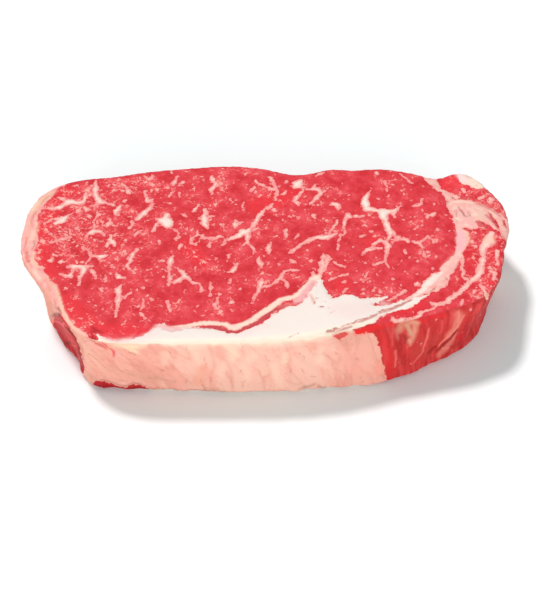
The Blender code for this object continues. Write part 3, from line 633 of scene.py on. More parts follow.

# %% Tints on the side fat, some of them painted light and shade: colour, strength, softness in mm, strokes
SIDE_FAT_TINTS_AND_PAINTED_LIGHT = [
    ((252, 226, 188), 0.7, 1.5, [[(66, 27.6, 3), (72, 27, 4), (76, 27.8, 3)],
                                 [(71.6, 25, 2.4), (73, 24, 2)]]),
    ((254, 214, 184), 0.55, 1.2,
     [[(103, 28.4, 1.6), (106, 27.6, 3), (108.4, 25.6, 3.4), (109.6, 22, 3.4), (109, 20, 2)],
      [(127.6, 22, 1.6), (127.8, 18, 1.8)]]),
    ((252, 206, 182), 0.5, 1.5,
     [[(93, 28, 2), (95, 25, 2.6), (96, 21, 2.2), (97, 17, 1.6)], [(124, 16, 3), (125.4, 10, 4), (126, 5, 4)],
      [(141, 22, 2.6), (140.6, 16, 2.4)], [(84, 22, 4), (83, 17, 3)]]),
    ((252, 205, 184), 0.5, 2.0, [[(116, 22, 4), (113, 17, 4), (114, 9, 3)], [(105, 16, 2), (104.4, 9, 2)]]),
    ((246, 170, 152), 0.6, 1.2,
     [[(104, 25.4, 2), (104.6, 22, 3)], [(87, 11, 3), (88, 5, 3)], [(85.4, 25, 1.6)],
      [(57, 28, 1), (60, 26, 1)]]),
    ((232, 165, 145), 0.6, 3.0, [[(64, 12, 5), (72, 9, 6), (80, 8, 5)]]),
    ((236, 165, 142), 0.55, 2.0, [[(60, 22, 3), (57, 20, 4), (58, 10, 5)]]),
    ((242, 160, 136), 0.6, 2.0, [[(97, 14, 4), (96, 6, 5)]]),
    ((245, 168, 150), 0.6, 3.0, [[(151, 14, 6), (156, 18, 5), (154, 8, 5)]]),
    ((252, 150, 128), 0.6, 1.0, [[(160.6, 12, 1.4), (161, 6, 2)], [(59.6, 24.4, 1.2), (58, 26, 1)]]),
    ((240, 176, 152), 0.6, 1.0,
     [[(50.6, 28.5, 1.4), (51.6, 24, 2.2), (52.2, 19, 2.4), (52.6, 13, 2.4), (52.6, 7, 2.4)]]),
    ((246, 148, 120), 0.75, 1.6, [[(10, 6, 3.5), (16, 12, 4), (22, 18.6, 4), (27, 24, 4), (31, 29, 4)]]),
    ((218, 150, 128), 0.6, 0.4,
     [[(62, 15, 0.4), (66, 11.6, 0.6), (70, 9.6, 0.4)], [(72, 8.4, 0.4), (76, 7.6, 0.6), (81, 6.4, 0.5),
                                                         (86, 4.6, 0.4)],
      [(58, 6.6, 0.4), (63, 5.6, 0.5), (67, 6, 0.4)], [(70, 13.4, 0.4), (74, 12, 0.6), (78, 11.4, 0.4)],
      [(88, 9.6, 0.4), (91, 7, 0.5), (92.6, 4, 0.4)], [(64, 20, 0.4), (67, 17, 0.5), (70, 15.4, 0.4)],
      [(106, 12, 0.4), (108, 8, 0.6), (108.6, 4, 0.4)], [(118, 14, 0.4), (119.4, 9, 0.6), (121, 5, 0.4)],
      [(128, 8, 0.4), (131, 5.6, 0.5), (134, 5, 0.4)], [(146, 12, 0.4), (149, 9, 0.5), (150.4, 5, 0.4)]]),
    ((205, 140, 118), 0.6, 0.8,
     [[(76, 8.4, 0.8), (79, 8, 1), (82, 7, 0.8), (86, 6, 0.6)], [(81.6, 12.4, 1)],
      [(68, 10, 0.8), (70, 9, 0.8)]]),
    # painted shade: the two brownish tints below lie low on the wall, where it meets the table
    ((200, 145, 125), 0.5, 1.0, [[(96, 2, 1), (99, 2.6, 2), (103, 2.4, 2.2), (105, 1.8, 1.6)]]),
    ((165, 110, 95), 0.65, 0.7,
     [[(133, 3, 0.5), (136.5, 3.4, 1), (139, 4.4, 0.6)], [(140.4, 3.4, 0.8), (143, 1.4, 1.4)]]),
    ((255, 176, 170), 0.7, 0.8, [[(55, 26.6, 1), (58, 25.6, 1.4), (60, 24.4, 1.2)],
                                 [(66, 24, 1), (66.4, 21, 0.8)]]),
    ((236, 72, 76), 0.85, 0.35,
     [[(52, 29.2, 0.4), (55, 29.2, 1.1), (58, 28.8, 1.6), (60.4, 27.8, 1.4), (62.4, 26.4, 1.1),
       (63.2, 25, 0.5)],
      [(58.6, 26.6, 0.4), (60.6, 25.6, 0.8), (62, 24, 0.6)],
      [(63.8, 24.6, 0.5), (64.8, 23.4, 1.2), (64.9, 22, 1.1), (64.3, 19.8, 0.4)]]),
    ((168, 60, 52), 0.6, 0.3, [[(56, 27.9, 0.4), (59, 27, 0.5), (61.6, 25.2, 0.5), (62.6, 23.4, 0.4)]]),
    ((152, 66, 52), 0.45, 0.3,
     [[(57, 5.2, 0.6), (61, 4.4, 0.7), (65, 3.7, 0.8), (69, 4.4, 0.8), (73, 4.1, 0.6), (77, 2.8, 0.4)]]),
    # painted highlight on the jutting front corner of the foot
    ((246, 170, 120), 0.7, 0.6, [[(52.4, 2.4, 1.4), (54, 1.6, 1)]]),
    # painted shade: a brownish line along the foot of the wall
    ((176, 108, 92), 0.7, 0.5,
     [[(76, 2.4, 0.9), (88, 2.2, 0.9), (100, 1.8, 0.9), (110, 1.4, 0.8), (120, 1.4, 0.7), (133, 1.2, 0.7),
       (150, 1, 0.7), (163, 1.2, 0.7)]]),
]
print(len(SIDE_FAT_TINTS_AND_PAINTED_LIGHT), "tints on the side fat")

# %% Creases in the side fat
WALL_CREASES = [
    [(54.2, 18.2, 0.5), (56.8, 16.4, 0.8), (58.6, 14, 0.7), (60.4, 12, 0.7), (61.8, 10.4, 0.8)],
    [(50.4, 29.1, 0.5), (53, 28.7, 0.6), (55.4, 27.8, 0.5)],
    [(54, 24.6, 0.4), (55.2, 27, 0.5)],
    [(54.4, 13.4, 0.5), (56.6, 12.4, 0.5)],
    [(52.6, 26.4, 0.4), (55.4, 22.4, 0.6), (58.4, 19.6, 0.5), (61.6, 17.4, 0.4)],
    [(53.4, 10.6, 0.4), (57.4, 8.4, 0.5), (62, 7, 0.5), (66, 5.8, 0.4)],
    [(68.4, 17.4, 0.4), (71.4, 15.4, 0.6), (75, 14.6, 0.4)],
    [(57.4, 27.6, 0.7), (60.5, 25.5, 0.6)],
    [(85, 25.5, 0.5), (85.8, 23.5, 0.8), (86.5, 21, 0.6), (87.8, 17.5, 0.5)],
    [(91.5, 24, 0.4), (92, 22, 0.5)],
    [(98.8, 21.5, 0.5), (98.5, 18.5, 0.6), (98.8, 15.5, 0.4)],
    [(70, 24, 0.5), (71, 22, 0.7), (73.5, 21.2, 0.8), (75, 20.5, 0.5)],
    [(80, 14, 0.4), (82, 12.3, 0.7)],
    [(83, 14.6, 0.5), (84.4, 12.6, 0.6), (85.6, 10.5, 0.5)],
    [(64, 14, 0.5), (66, 11.5, 0.6)],
    [(77.8, 10, 0.4), (78.4, 8, 0.6)],
    [(95.9, 7.5, 0.6), (97, 4.5, 0.7), (97.6, 2, 0.6)],
    [(100.2, 9, 0.5), (100.1, 6, 0.5)],
    [(104, 6, 0.4), (105, 3, 0.5)],
    [(90.8, 8, 0.4), (90.2, 5, 0.5)],
    [(112, 7, 0.6), (112.5, 4.5, 0.6)],
    [(113.4, 8, 0.4), (113, 6.6, 0.4)],
    [(115.8, 6.8, 0.5), (117, 5.4, 0.4)],
    [(112.3, 29, 0.4), (112.2, 26, 0.4)],
    [(111.6, 13.4, 0.6), (112.4, 11, 0.4)],
    [(120.5, 22, 0.5), (121.5, 20, 0.7), (122.2, 17.2, 0.5)],
    [(133.2, 22.5, 0.4), (134.2, 20, 0.6), (135, 17.5, 0.4)],
    [(133.8, 14.2, 0.5), (134.6, 12, 0.7), (135.2, 10.3, 0.8)],
    [(129.8, 13, 0.5), (130.3, 10.5, 0.5)],
    [(146.2, 20.8, 0.4), (147, 18.5, 0.6)],
    [(144, 17.6, 0.4), (144.8, 13.5, 0.5)],
    [(138, 9, 0.5), (139, 8, 0.4)],
    [(141.6, 12, 0.4), (142.6, 10.6, 0.4), (141.8, 9.4, 0.4)],
    [(152.8, 19, 0.4), (153.2, 17.2, 0.5)],
    [(153.4, 15.8, 0.5), (154, 14, 0.4)],
    [(154.6, 6, 0.5), (155.8, 3.2, 0.6)],
    [(161.6, 13, 0.5), (161, 11.2, 0.5)],
    [(162.4, 6, 0.5), (163, 3, 0.6)],
    [(147.6, 6.6, 0.4), (148.4, 4, 0.4)],
]
print(len(WALL_CREASES), "creases in the side fat")

# %% Tints on the bare muscle of the wall, some of them painted light and shade
MUSCLE_TINTS_AND_PAINTED_LIGHT = [
    ((226, 44, 44), 0.6, 1.5, [[(164, 24, 3), (164.6, 16, 3), (165.6, 8, 3), (165, 3, 2)]]),
    ((196, 66, 58), 0.5, 3.0, [[(176, 12, 5), (182, 8, 5), (188, 14, 5), (178, 18, 3)]]),
    ((242, 104, 96), 0.6, 0.8, [[(146.6, 27.6, 2), (149, 27.4, 3), (151.4, 27.8, 2)]]),
    ((250, 42, 42), 0.8, 1.0, [[(155, 26.8, 2), (160, 27.2, 3), (164, 27.6, 3), (169, 27.6, 2.4)]]),
    ((238, 42, 50), 0.7, 1.2, [[(183.5, 27.6, 3), (187, 27.4, 3), (189, 26.6, 2)],
                               [(178, 27, 1), (181, 26, 2.4)]]),
    ((215, 36, 46), 0.6, 1.2, [[(200, 10, 3), (202, 8, 3)]]),
    ((172, 34, 34), 0.5, 0.7,
     [[(165.6, 26.8, 0.8), (165.8, 22, 0.8), (165.2, 18, 0.6)], [(203, 27.4, 1.2), (206, 27, 1.6)]]),
    ((168, 36, 34), 0.45, 1.2, [[(168.5, 20, 2), (169.4, 14, 2.6), (170.4, 8, 2.6)]]),
    ((152, 24, 27), 0.65, 0.8, [[(184, 8, 2.2), (186.5, 9.6, 2.6)], [(193, 3.6, 1), (195, 3.8, 1.2)]]),
    ((158, 38, 36), 0.5, 0.9, [[(196, 5.6, 1.6), (200, 5.4, 2)], [(209, 9.6, 2), (210.4, 11, 1.4)]]),
    ((226, 145, 120), 0.7, 1.0,
     [[(170.6, 24, 2.4), (172.4, 26.6, 3), (176, 27, 3.4), (178, 25.6, 2.4), (176.4, 21.6, 2.6),
       (174.8, 18, 2.4)]]),
    ((222, 120, 110), 0.5, 0.8, [[(169.2, 24.6, 1.4), (169.4, 21, 1.2)]]),
    ((245, 165, 140), 0.6, 0.7, [[(172, 27.6, 1.2), (176, 27, 1.6), (178.4, 25.6, 1)]]),
    ((215, 175, 140), 0.7, 0.8, [[(174.4, 25, 1.8), (174.8, 21.6, 1.8)]]),
    ((240, 150, 130), 0.6, 0.6, [[(176.6, 26.4, 1), (176.8, 23, 0.8), (176, 20, 1)],
                                 [(174, 18.6, 1.6), (174.2, 16.4, 1)]]),
    ((128, 48, 42), 0.8, 0.6, [[(172.2, 21.4, 1.1), (172.4, 19.4, 1.5), (172, 17.4, 0.7)]]),
    ((242, 112, 104), 0.8, 0.4,
     [[(167.9, 15.4, 0.8), (167.6, 11, 0.9), (167.2, 7.4, 0.6)],
      [(182.8, 21.6, 0.8), (182, 17.6, 1), (180.8, 13, 0.9), (180.2, 10.4, 1.1), (177.6, 8.6, 0.6),
       (175.8, 6, 0.5)]]),
    ((240, 92, 86), 0.6, 0.5,
     [[(168.9, 27, 0.8), (167.6, 22.6, 0.8), (166.8, 18, 0.5)],
      [(188.4, 24, 1), (188.8, 19.6, 1), (188.2, 17, 0.5)],
      [(204.4, 18.6, 0.7), (206, 13, 1), (204.8, 8.6, 0.7)], [(205.4, 24, 0.6), (206.4, 19, 0.8)]]),
    ((238, 126, 112), 0.8, 1.4, [[(194.8, 25.6, 2.8), (196.6, 21, 5.2), (196.4, 17, 4.8), (193, 14.4, 3)]]),
    ((228, 122, 108), 0.8, 1.0, [[(197.6, 12, 1.6), (196, 9, 3.6), (193, 6.6, 3.6), (189, 4.6, 2)]]),
    # painted highlights on the pale patch of the cap muscle
    ((248, 138, 120), 0.8, 0.4,
     [[(195.2, 26.2, 0.8), (196.2, 22.6, 0.8), (196.6, 19, 0.6)], [(190.6, 7.6, 0.5), (195, 5.6, 0.4)],
      [(198.8, 22, 0.7), (198, 18, 1.1), (196.4, 15, 1.3), (192.6, 12.8, 1.3), (190, 11.2, 1),
       (188.6, 9.6, 0.6)]]),
    ((122, 34, 32), 0.7, 0.4,
     [[(197.4, 15, 0.8), (196.4, 12.6, 1.4), (193, 10.6, 1.2), (190.4, 8.6, 1.3), (188, 7, 0.9)]]),
    ((255, 205, 205), 0.8, 0.25,
     [[(212, 27, 0.5), (212.6, 26, 0.5)], [(213.4, 22.6, 0.6)], [(211.6, 19.6, 0.5), (212.4, 18.8, 0.4)],
      [(214.6, 15, 0.5)], [(214, 11.6, 0.5), (215, 10.4, 0.4)], [(209.6, 21.4, 0.5)], [(207.6, 15.6, 0.5)],
      [(211, 24.4, 0.5)], [(200.6, 25.4, 0.5), (201.4, 24, 0.5)], [(186, 25.4, 0.5)], [(178.8, 15, 0.5)]]),
    ((140, 28, 36), 0.6, 0.4,
     [[(210.4, 29, 0.6), (210.8, 24, 0.9), (210.2, 18, 0.8), (211.4, 13, 0.6)],
      [(206.8, 28, 0.6), (207.2, 24, 0.8)],
      [(214, 26, 0.6), (215, 20, 0.9), (216.4, 13, 0.8), (218, 6, 0.6)]]),
    ((206, 62, 68), 0.35, 1.6, [[(211.4, 28, 1.6), (212, 24, 2.4), (213.5, 18, 3), (216, 10, 4),
                                 (219, 2, 4)]]),
    ((204, 38, 46), 0.7, 3.0, [[(14, 0, 4), (26, 8, 6), (36, 16, 7), (44, 22, 5), (46, 12, 5)]]),
    # dark lines at the edges of the left strip, partly its own outline and partly painted shade
    ((120, 24, 28), 0.7, 0.6, [[(16, 6, 1), (24, 13.6, 1.4), (30, 19, 1.6), (36, 25.4, 1.4), (39.6, 28.6, 1)],
      [(46.6, 28, 0.8), (49, 24.6, 1), (50, 20, 1), (49.2, 14, 1), (48.6, 8, 0.8)]]),
    # painted highlight: a bright streak across the left strip
    ((255, 96, 104), 0.85, 0.4, [[(17, 4, 0.8), (27, 12, 0.9), (34, 18, 1), (40, 23, 1.2), (43, 27, 1)]]),
    # painted shadow in the gap under the foot, where the edge lifts off the table
    ((150, 22, 30), 0.85, 0.6, [[(55, 1.4, 3), (59, 1.8, 3.4), (64, 1.2, 2.4), (69, 1.6, 3), (75, 0.8, 2)]]),
    ((206, 36, 42), 0.5, 1.0, [[(22, 5, 2.4), (30, 11, 2.4), (36, 15, 2)]]),
    ((226, 74, 88), 0.7, 0.5, [[(36, 14, 1.4), (42, 17.6, 1.8), (46.5, 20.6, 1.8)]]),
    ((238, 106, 106), 0.65, 0.35,
     [[(19, 8, 0.6), (27, 14.4, 0.8), (33, 19, 0.6)], [(37, 19.6, 0.6), (42, 22.4, 0.9), (46, 24.4, 0.6)],
      [(43, 14.6, 0.6), (46, 16.6, 0.8), (48.4, 19, 0.5)],
      [(45.4, 8, 0.5), (47, 10.4, 0.7), (48.6, 13.4, 0.5)],
      [(41, 25.4, 0.5), (44.4, 27.4, 0.7), (47, 28, 0.5)]]),
    ((128, 26, 26), 0.8, 0.4,
     [[(44.6, 13, 1.2), (47.4, 12, 1.6), (50, 12.4, 0.9)],
      [(45.6, 26.6, 1.2), (48, 26, 1.6), (49.6, 24.4, 0.8)],
      [(29, 2, 1.2), (36, 8.4, 1.2), (42, 12.6, 1.2)]]),
    ((190, 100, 84), 0.6, 0.5,
     [[(50.9, 22, 0.6), (51.6, 18, 0.6), (50.6, 13.4, 0.7)], [(35.6, 28.4, 0.8), (38, 28.8, 0.8)]]),
]
print(len(MUSCLE_TINTS_AND_PAINTED_LIGHT), "tints on the bare muscle")

# %% Tints on the cut face, by x and y
FACE_TINTS = [
    ((254, 224, 204), 0.75, 0.5, [SEAM_STROKES[0]]),
    ((252, 178, 176), 0.8, 0.7,
     [[(-59, -46.6, 0.8), (-53, -47.9, 1.2), (-49, -47.2, 1.4)],
      [(-42, -43.6, 1), (-39.6, -40.6, 2), (-36, -41.4, 2.6), (-31.6, -42, 2)]]),
    ((222, 140, 155), 0.6, 0.4,
     [[(-37.6, -42.6, 0.5), (-34, -43.6, 0.9), (-30.4, -43, 0.7)],
      [(-30, -41.9, 0.5), (-24, -42.1, 0.6), (-19.6, -41.6, 0.7)]]),
    ((250, 216, 212), 0.6, 1.6,
     [[(-54, -49, 3), (-46, -48.4, 3.4), (-41, -45, 3)], [(-8, -46, 2), (0, -41, 2.4)]]),
    ((246, 216, 211), 0.75, 2.5, [[(25, -33, 5), (31, -34, 8), (36, -32.6, 6)],
                                  [(43, -29, 1.5), (46, -30.6, 1.5)]]),
    ((238, 222, 212), 0.5, 1.5, [[(18.4, -28, 3), (19.4, -22, 3)]]),
    ((250, 200, 188), 0.6, 0.5, [[(22, -44.2, 0.5), (30, -40.9, 0.8), (37, -37.6, 1), (45, -32.4, 1.1),
                                  (54, -27.2, 0.8)]]),
    ((188, 88, 84), 0.75, 0.25,
     [[(24, -43.9, 0.4), (28, -42.2, 0.6), (31, -41, 0.4)],
      [(33, -39.6, 0.4), (37, -37.9, 0.6), (40, -36, 0.5)],
      [(41.5, -34.6, 0.5), (45.6, -32.6, 0.7), (50, -30.2, 0.6), (53.6, -27.8, 0.4)]]),
    ((244, 168, 172), 0.8, 0.8, [[(11, -28.6, 2), (13.4, -26.4, 3), (15.4, -22, 2.6), (17.6, -17.6, 1.8)]]),
    ((226, 150, 150), 0.6, 0.5, [[(16.4, -22.6, 0.8), (17.6, -18.4, 0.7)],
                                 [(10.6, -30, 0.8), (13, -28.4, 0.8)]]),
    ((232, 132, 124), 0.8, 0.5, [[(4.6, -31, 0.8), (7.6, -30, 1.5), (10, -29.8, 1)]]),
    ((236, 160, 148), 0.7, 0.6, [[(16.4, -25.6, 1), (17.4, -28.4, 1.2), (17.8, -30, 0.8)]]),
    ((204, 88, 94), 0.7, 0.35, [LEAN_STROKES[0]]),
    ((254, 196, 184), 0.6, 1.2, [[(74, -1, 2), (70, -7, 3), (67.4, -11, 3)]]),
    ((250, 180, 186), 0.8, 1.0, [[(75, 9, 3), (75, 4, 3.4), (74.4, 0, 2.4)]]),
    ((246, 190, 166), 0.7, 0.8, [[(77.4, 9, 1.6), (77.8, 5.6, 1.6), (77, 2, 1)]]),
    ((246, 170, 158), 0.5, 1.5, [[(75, 28, 2), (80, 26, 3), (88, 21.6, 3), (92, 16, 2)]]),
    ((238, 198, 176), 0.6, 1.5, [[(84, 20, 3), (83.4, 16.4, 3)], [(76.4, 26, 2)]]),
    ((240, 176, 174), 0.6, 1.2, [[(77, 22, 2), (78, 17, 3), (80, 13.6, 3)], [(74.6, 14, 1.6)]]),
    ((232, 130, 130), 0.55, 0.8, [[(86.4, 18, 1.6), (87.6, 15.6, 2)], [(82, 14, 1), (83.4, 12.6, 1.4)]]),
    ((248, 196, 176), 0.8, 0.8, [[(84.6, 4, 2.4), (86.4, 5.6, 3), (87, 3, 2)]]),
    ((252, 214, 196), 0.6, 0.5,
     [[(73.4, 26.6, 1.2), (77, 27, 1.4), (81, 25.6, 1.2)], [(81, 23, 1), (84.6, 21.6, 1.2)],
      [(74.4, 19, 1), (74.6, 16, 1)], [(80.6, 20.6, 1), (82, 17.6, 1.2)],
      [(87.6, 21, 0.8), (90, 17.6, 0.8)]]),
    ((205, 90, 94), 0.75, 0.3,
     [[(82.6, 25.4, 0.4), (86, 23.6, 0.6), (89.6, 20.4, 0.6), (91.6, 17.8, 0.5)],
      [(85.8, 18.4, 0.5), (87.4, 16, 0.9), (89, 12.4, 0.6), (90.8, 8.6, 0.5), (91.8, 5.4, 0.4)],
      [(82, 15, 0.6), (83.6, 13, 0.8), (85, 11.4, 0.5)], [(73.6, 30, 0.5), (75.4, 27.8, 0.5)],
      [(77.4, 30.2, 0.5), (80.4, 28.2, 0.5)], [(92.4, 13.6, 0.5), (93.2, 11.6, 0.6)]]),
    ((158, 84, 84), 0.7, 0.25,
     [[(75.6, 23.6, 0.4), (76.6, 20.6, 0.6), (77.4, 18.2, 0.6), (78.4, 17.4, 0.4)],
      [(71.6, 28.6, 0.4), (71.4, 25.4, 0.5)], [(74, 21.4, 0.3), (74.4, 18, 0.4)],
      [(79, 19.6, 0.4), (80, 17, 0.5)]]),
    ((254, 212, 210), 0.8, 1.0, [[(77.6, 42.6, 3), (79, 39.6, 3)]]),
    ((250, 222, 198), 0.7, 1.0, [[(82.6, 38.6, 3), (85, 35.6, 2.6)]]),
    ((240, 190, 162), 0.7, 1.2, [[(-86.6, 31, 3), (-90.6, 25, 3.4), (-92, 20, 2.6)], [(-92.6, 14, 2)]]),
    ((252, 176, 160), 0.5, 1.2, [[(-92, 10, 3), (-91.6, 4, 3)]]),
    ((226, 96, 92), 0.7, 0.35,
     [[(-92.2, -2, 0.6), (-91.4, -4.6, 0.8), (-90.6, -7.6, 0.8)], [(-92.8, 6, 0.4), (-92.4, 3, 0.5)]]),
    ((196, 104, 90), 0.6, 0.3, [[(-89.4, 4, 0.6), (-89, 1, 0.7), (-89.6, -1, 0.4)]]),
    ((204, 98, 88), 0.6, 0.3,
     [[(-89.4, -5, 0.5), (-87.6, -9.4, 0.7), (-85, -12.4, 0.5)],
      [(-90.4, 21, 0.4), (-91.6, 17, 0.6), (-91.6, 13.6, 0.4)],
      [(-83, -17.4, 0.4), (-81, -20.6, 0.6), (-79.8, -24, 0.4)], [(-92.8, 0, 0.4), (-92.2, 3, 0.5)],
      [(-86.6, 29.6, 0.4), (-88.4, 27, 0.5), (-89, 24.6, 0.4)],
      [(-90.6, -4, 0.4), (-90.2, -7.4, 0.5), (-88.6, -10.6, 0.4)],
      [(-84.4, -19, 0.4), (-82, -24, 0.5), (-80.6, -27, 0.4)],
      [(-78.4, -27, 0.4), (-76.4, -33, 0.6), (-74, -38, 0.4)]]),
    ((254, 214, 190), 0.6, 0.7,
     [[(-90.4, 9, 1.4), (-90.6, 4.6, 1)], [(-91, 26, 1.2), (-92, 22, 1)],
      [(-87.4, -12.6, 1.2), (-85, -16.4, 1.2)],
      [(-92.6, -4, 0.9)], [(-80.4, -28.6, 0.9), (-79, -31, 0.7)]]),
    ((252, 206, 182), 0.7, 0.8,
     [[(-88.6, -3, 1.2), (-88.8, -7.6, 1.6), (-86.4, -10.6, 1.4)],
      [(-89.4, 6.6, 1.4), (-89.4, 11, 1.2), (-89.8, 14, 1.4)]]),
    ((246, 172, 152), 0.6, 1.0, [[(-83, -16, 2), (-80, -21, 2)]]),
    ((246, 196, 170), 0.8, 0.5,
     [[(-78.6, -20.4, 1.2), (-76.4, -27, 1.3), (-74.6, -32.6, 1.3), (-72.4, -37.4, 1.1), (-69.6, -41.4, 1.2),
       (-66, -45, 1.4)]]),
    ((240, 150, 128), 0.7, 0.8, [[(-81.6, -22, 1.4), (-80, -28, 1.6), (-78, -32.4, 1.2)]]),
    ((150, 44, 44), 0.8, 0.5, [[(-76.6, -31.4, 0.8), (-75.8, -34.2, 1.6), (-75.4, -38, 1.4)]]),
]
print(len(FACE_TINTS), "tints on the cut face")

# %% Where the lean is freshest and reddest
VIVID_STROKES = [
    [(-79, 34, 6), (-84, 24, 6), (-86, 10, 5), (-85, -3, 6), (-80, -14, 6)],
    [(-74, -28, 6), (-68, -38, 8), (-58, -43, 5), (-50, -42, 6), (-44, -42, 4)],
    [(70, 36, 6), (74, 40, 5), (78, 35, 4)],
    [(78, -3, 3), (77.5, -10, 3)],
    [(83.4, -19, 5)],
    [(86, -3, 3), (86.4, -10, 3)],
    [(45, -31, 2), (50, -33, 3), (58, -29, 3)],
    [(28, -20, 7)],
    [(-4, 24, 9), (12, 32, 7)],
    [(-30, 1, 8), (-24, -8, 5)],
    [(40, 2, 6)],
]
print(len(VIVID_STROKES), "places with the freshest lean")

# %% [markdown]
# ## From drawing to numbers
#
# Drawn edges look too clean, so every place is nudged by noise before it looks up the drawing. The underside
# gets a much larger nudge: the knife meets the same muscles there, in slightly other places.

# %% Depth of fat at every point
nudge_x = 0.60 * cloud(points, 2.3) + 0.45 * cloud(points, 1.2, 7.0)
nudge_y = 0.60 * cloud(points, 2.3, 31.0) + 0.45 * cloud(points, 1.2, 47.0)
swell = 0.08 + 0.40 * cloud(points, 1.9, 83.0)
calm_places = places + 0.4 * np.stack([nudge_x, nudge_y], axis=1)
places = places + np.stack([nudge_x, nudge_y], axis=1)
drift = np.stack([cloud(points, 26.0, 3.0), cloud(points, 26.0, 13.0)], axis=1)
places = places + 5.0 * lower[:, None] * drift
hanging = side * (1 - front) * ramp(TOP - points[:, 2], 0, 14)
sway = np.stack([cloud(points, 8.0, 71.0), cloud(points, 8.0, 91.0)], axis=1)
places = places + 3.2 * hanging[:, None] * sway
plain = np.stack([around, points[:, 2]], axis=1)
wall_places = plain + np.stack([nudge_x, nudge_y], axis=1)
calm_wall_places = plain + 0.4 * np.stack([nudge_x, nudge_y], axis=1)

fat = np.full(len(points), FAR)
white = np.zeros(len(points))
ragged = 0.45 * cloud(points, 1.8, 101.0)
for name, (corners, whiteness) in AREAS.items():
    depth = depth_in_area(places, corners) + ragged
    white = np.where(depth > fat, whiteness, white)
    fat = np.maximum(fat, depth)
for strokes, rosy, gain in (
    (SEAM_STROKES, 0.36, 0.22),
    (RIM_END_VEINS, 0.26, 0.58),
    (MIDDLE_VEINS, 0.26, 0.56),
    (CAP_END_VEINS, 0.26, 0.56),
):
    depth = depth_in_strokes(places, strokes) + swell
    white = np.where(depth > fat, rosy + gain * ramp(depth, 0.2, 1.6), white)
    fat = np.maximum(fat, depth)
core = depth_in_strokes(places, WHITE_CORE)
white = np.maximum(white, 0.84 * ramp(core, -1.2, 1.2))
lean_line = depth_in_strokes(places, LEAN_STROKES)
fat = np.minimum(fat, -lean_line)
crease = depth_in_strokes(places, CREASES)
print("fat covers", round(float((fat > 0).mean()), 3), "of the points so far")

# %% The front wall replaces what the rim gave it
wall_fat = np.full(len(points), 3.0)
for area in (BARE_MUSCLE, LEFT_STRIP, FOOT_STRIP_AND_SHADOW_GAP):
    wall_fat = np.minimum(wall_fat, -depth_in_area(wall_places, area))
wall_fat = np.minimum(wall_fat, -depth_in_strokes(wall_places, WALL_LEAN_STROKES))
wall_fat = np.maximum(wall_fat, depth_in_strokes(wall_places, WALL_FAT_STROKES))
wall_white = 0.30 + 0.25 * ramp(around, 80, 98) - 0.22 * ramp(around, 134, 152)
below_rim = ramp(TOP - points[:, 2], 0.6, 2.0) * front
drop = (TOP - points[:, 2]) * (0.35 + 0.65 * side) + 1.2 * cloud(wall_place, 4.0, 19.0)
skin = ramp(drop, -1.2, 4.2) * front
fat = fat * (1 - below_rim) + wall_fat * below_rim
white = white * (1 - skin) + wall_white * skin
crease = np.where(below_rim > 0.5, depth_in_strokes(wall_places, WALL_CREASES), crease)
back = side * (1 - front)
fat = fat + back * (0.5 * cloud(wall_place * [1, 1, 0.25], 5.0))
white = white * (1 - back) + np.minimum(white, 0.42) * back
skin = np.maximum(skin, back * ramp(drop, 0.4, 2.4))
print("fat covers", round(float((fat > 0).mean()), 3), "of the points")


# %% Tints are laid over each other like thin glazes
def linear(colour, brightness=1.0):
    """A colour from 0 to 255, as on a screen, in linear light from 0 to 1."""
    share = np.array(colour[:3], float) / 255
    return np.where(share <= 0.04045, share / 12.92, ((share + 0.055) / 1.055) ** 2.4) * brightness


glaze = np.zeros((len(points), 4))  # the colour, already multiplied by how much of it there is, and how much


def glaze_over(colour, amount):
    amount = amount[:, None]
    glaze[:] = glaze * (1 - amount) + np.append(linear(colour), 1.0) * amount


def lay(where, weight, tints):
    for colour, strength, soft, strokes in tints:
        glaze_over(colour, weight * strength * ramp(depth_in_strokes(where, strokes), -soft, soft))


# the kernel turns creamy where the upper face rolls over into the front wall, and is painted brighter there
cream_rim_and_painted_light = ramp(-normals[:, 1], 0.10, 0.40) * ramp(white, 0.35, 0.75) * ramp(fat, 0.0, 0.6) * (upper + front)
# painted light: these glazes lift the rounded rim against the shade that falls on it between the suns
glaze_over((255, 228, 204), 0.6 * cream_rim_and_painted_light * (1 - ramp(drop, 2.4, 5.6)))
glaze_over((255, 241, 222), 0.5 * cream_rim_and_painted_light * (1 - ramp(drop, -0.4, 2.6)))
lay(calm_places, upper * (1 - below_rim), FACE_TINTS)
lay(calm_wall_places, front * ramp(drop, 0.8, 4.0) * ramp(wall_fat, -0.4, 0.4), SIDE_FAT_TINTS_AND_PAINTED_LIGHT)
lay(calm_wall_places, below_rim, MUSCLE_TINTS_AND_PAINTED_LIGHT)
print("glazed points:", int((glaze[:, 3] > 0.1).sum()))

# %% How thickly the fine marbling is strewn, and how deep the red is
x, y = places.T
# thick at the rim end of the eye, thin at its cap end, and thickest in the cap
marbling = 0.15 + 0.47 * ramp(-x, 30, 62) * ramp(y, -22, 6) - 0.14 * ramp(x, 10, 48) + 0.66 * ramp(x, 72, 80)
marbling = marbling + 0.20 * cloud(points, 14.0, 5.0)
marbling = marbling * (1 - 0.55 * ramp(y, 34, 42)) * (1 - 0.5 * ramp(-y, 30, 40))
marbling = marbling * (1 - 0.8 * side) - 0.4 * side * front
vivid = upper * ramp(depth_in_strokes(places + 2.0 * drift, VIVID_STROKES), -2.0, 2.0)
# the red is deepest in thin lines of lean, at the left end of the front wall and in patches on the back wall
deep = np.zeros(len(points))
deep = np.maximum(deep, 0.9 * ramp(lean_line, -0.3, 0.4))
deep = np.maximum(deep, 0.2 * front * ramp(60 - around, 0, 8))
# painted shade, low on the wall at the front left where it meets the table
deep = np.maximum(deep, 0.7 * front * ramp(7 - points[:, 2], 0, 2) * ramp(80 - around, 0, 4))
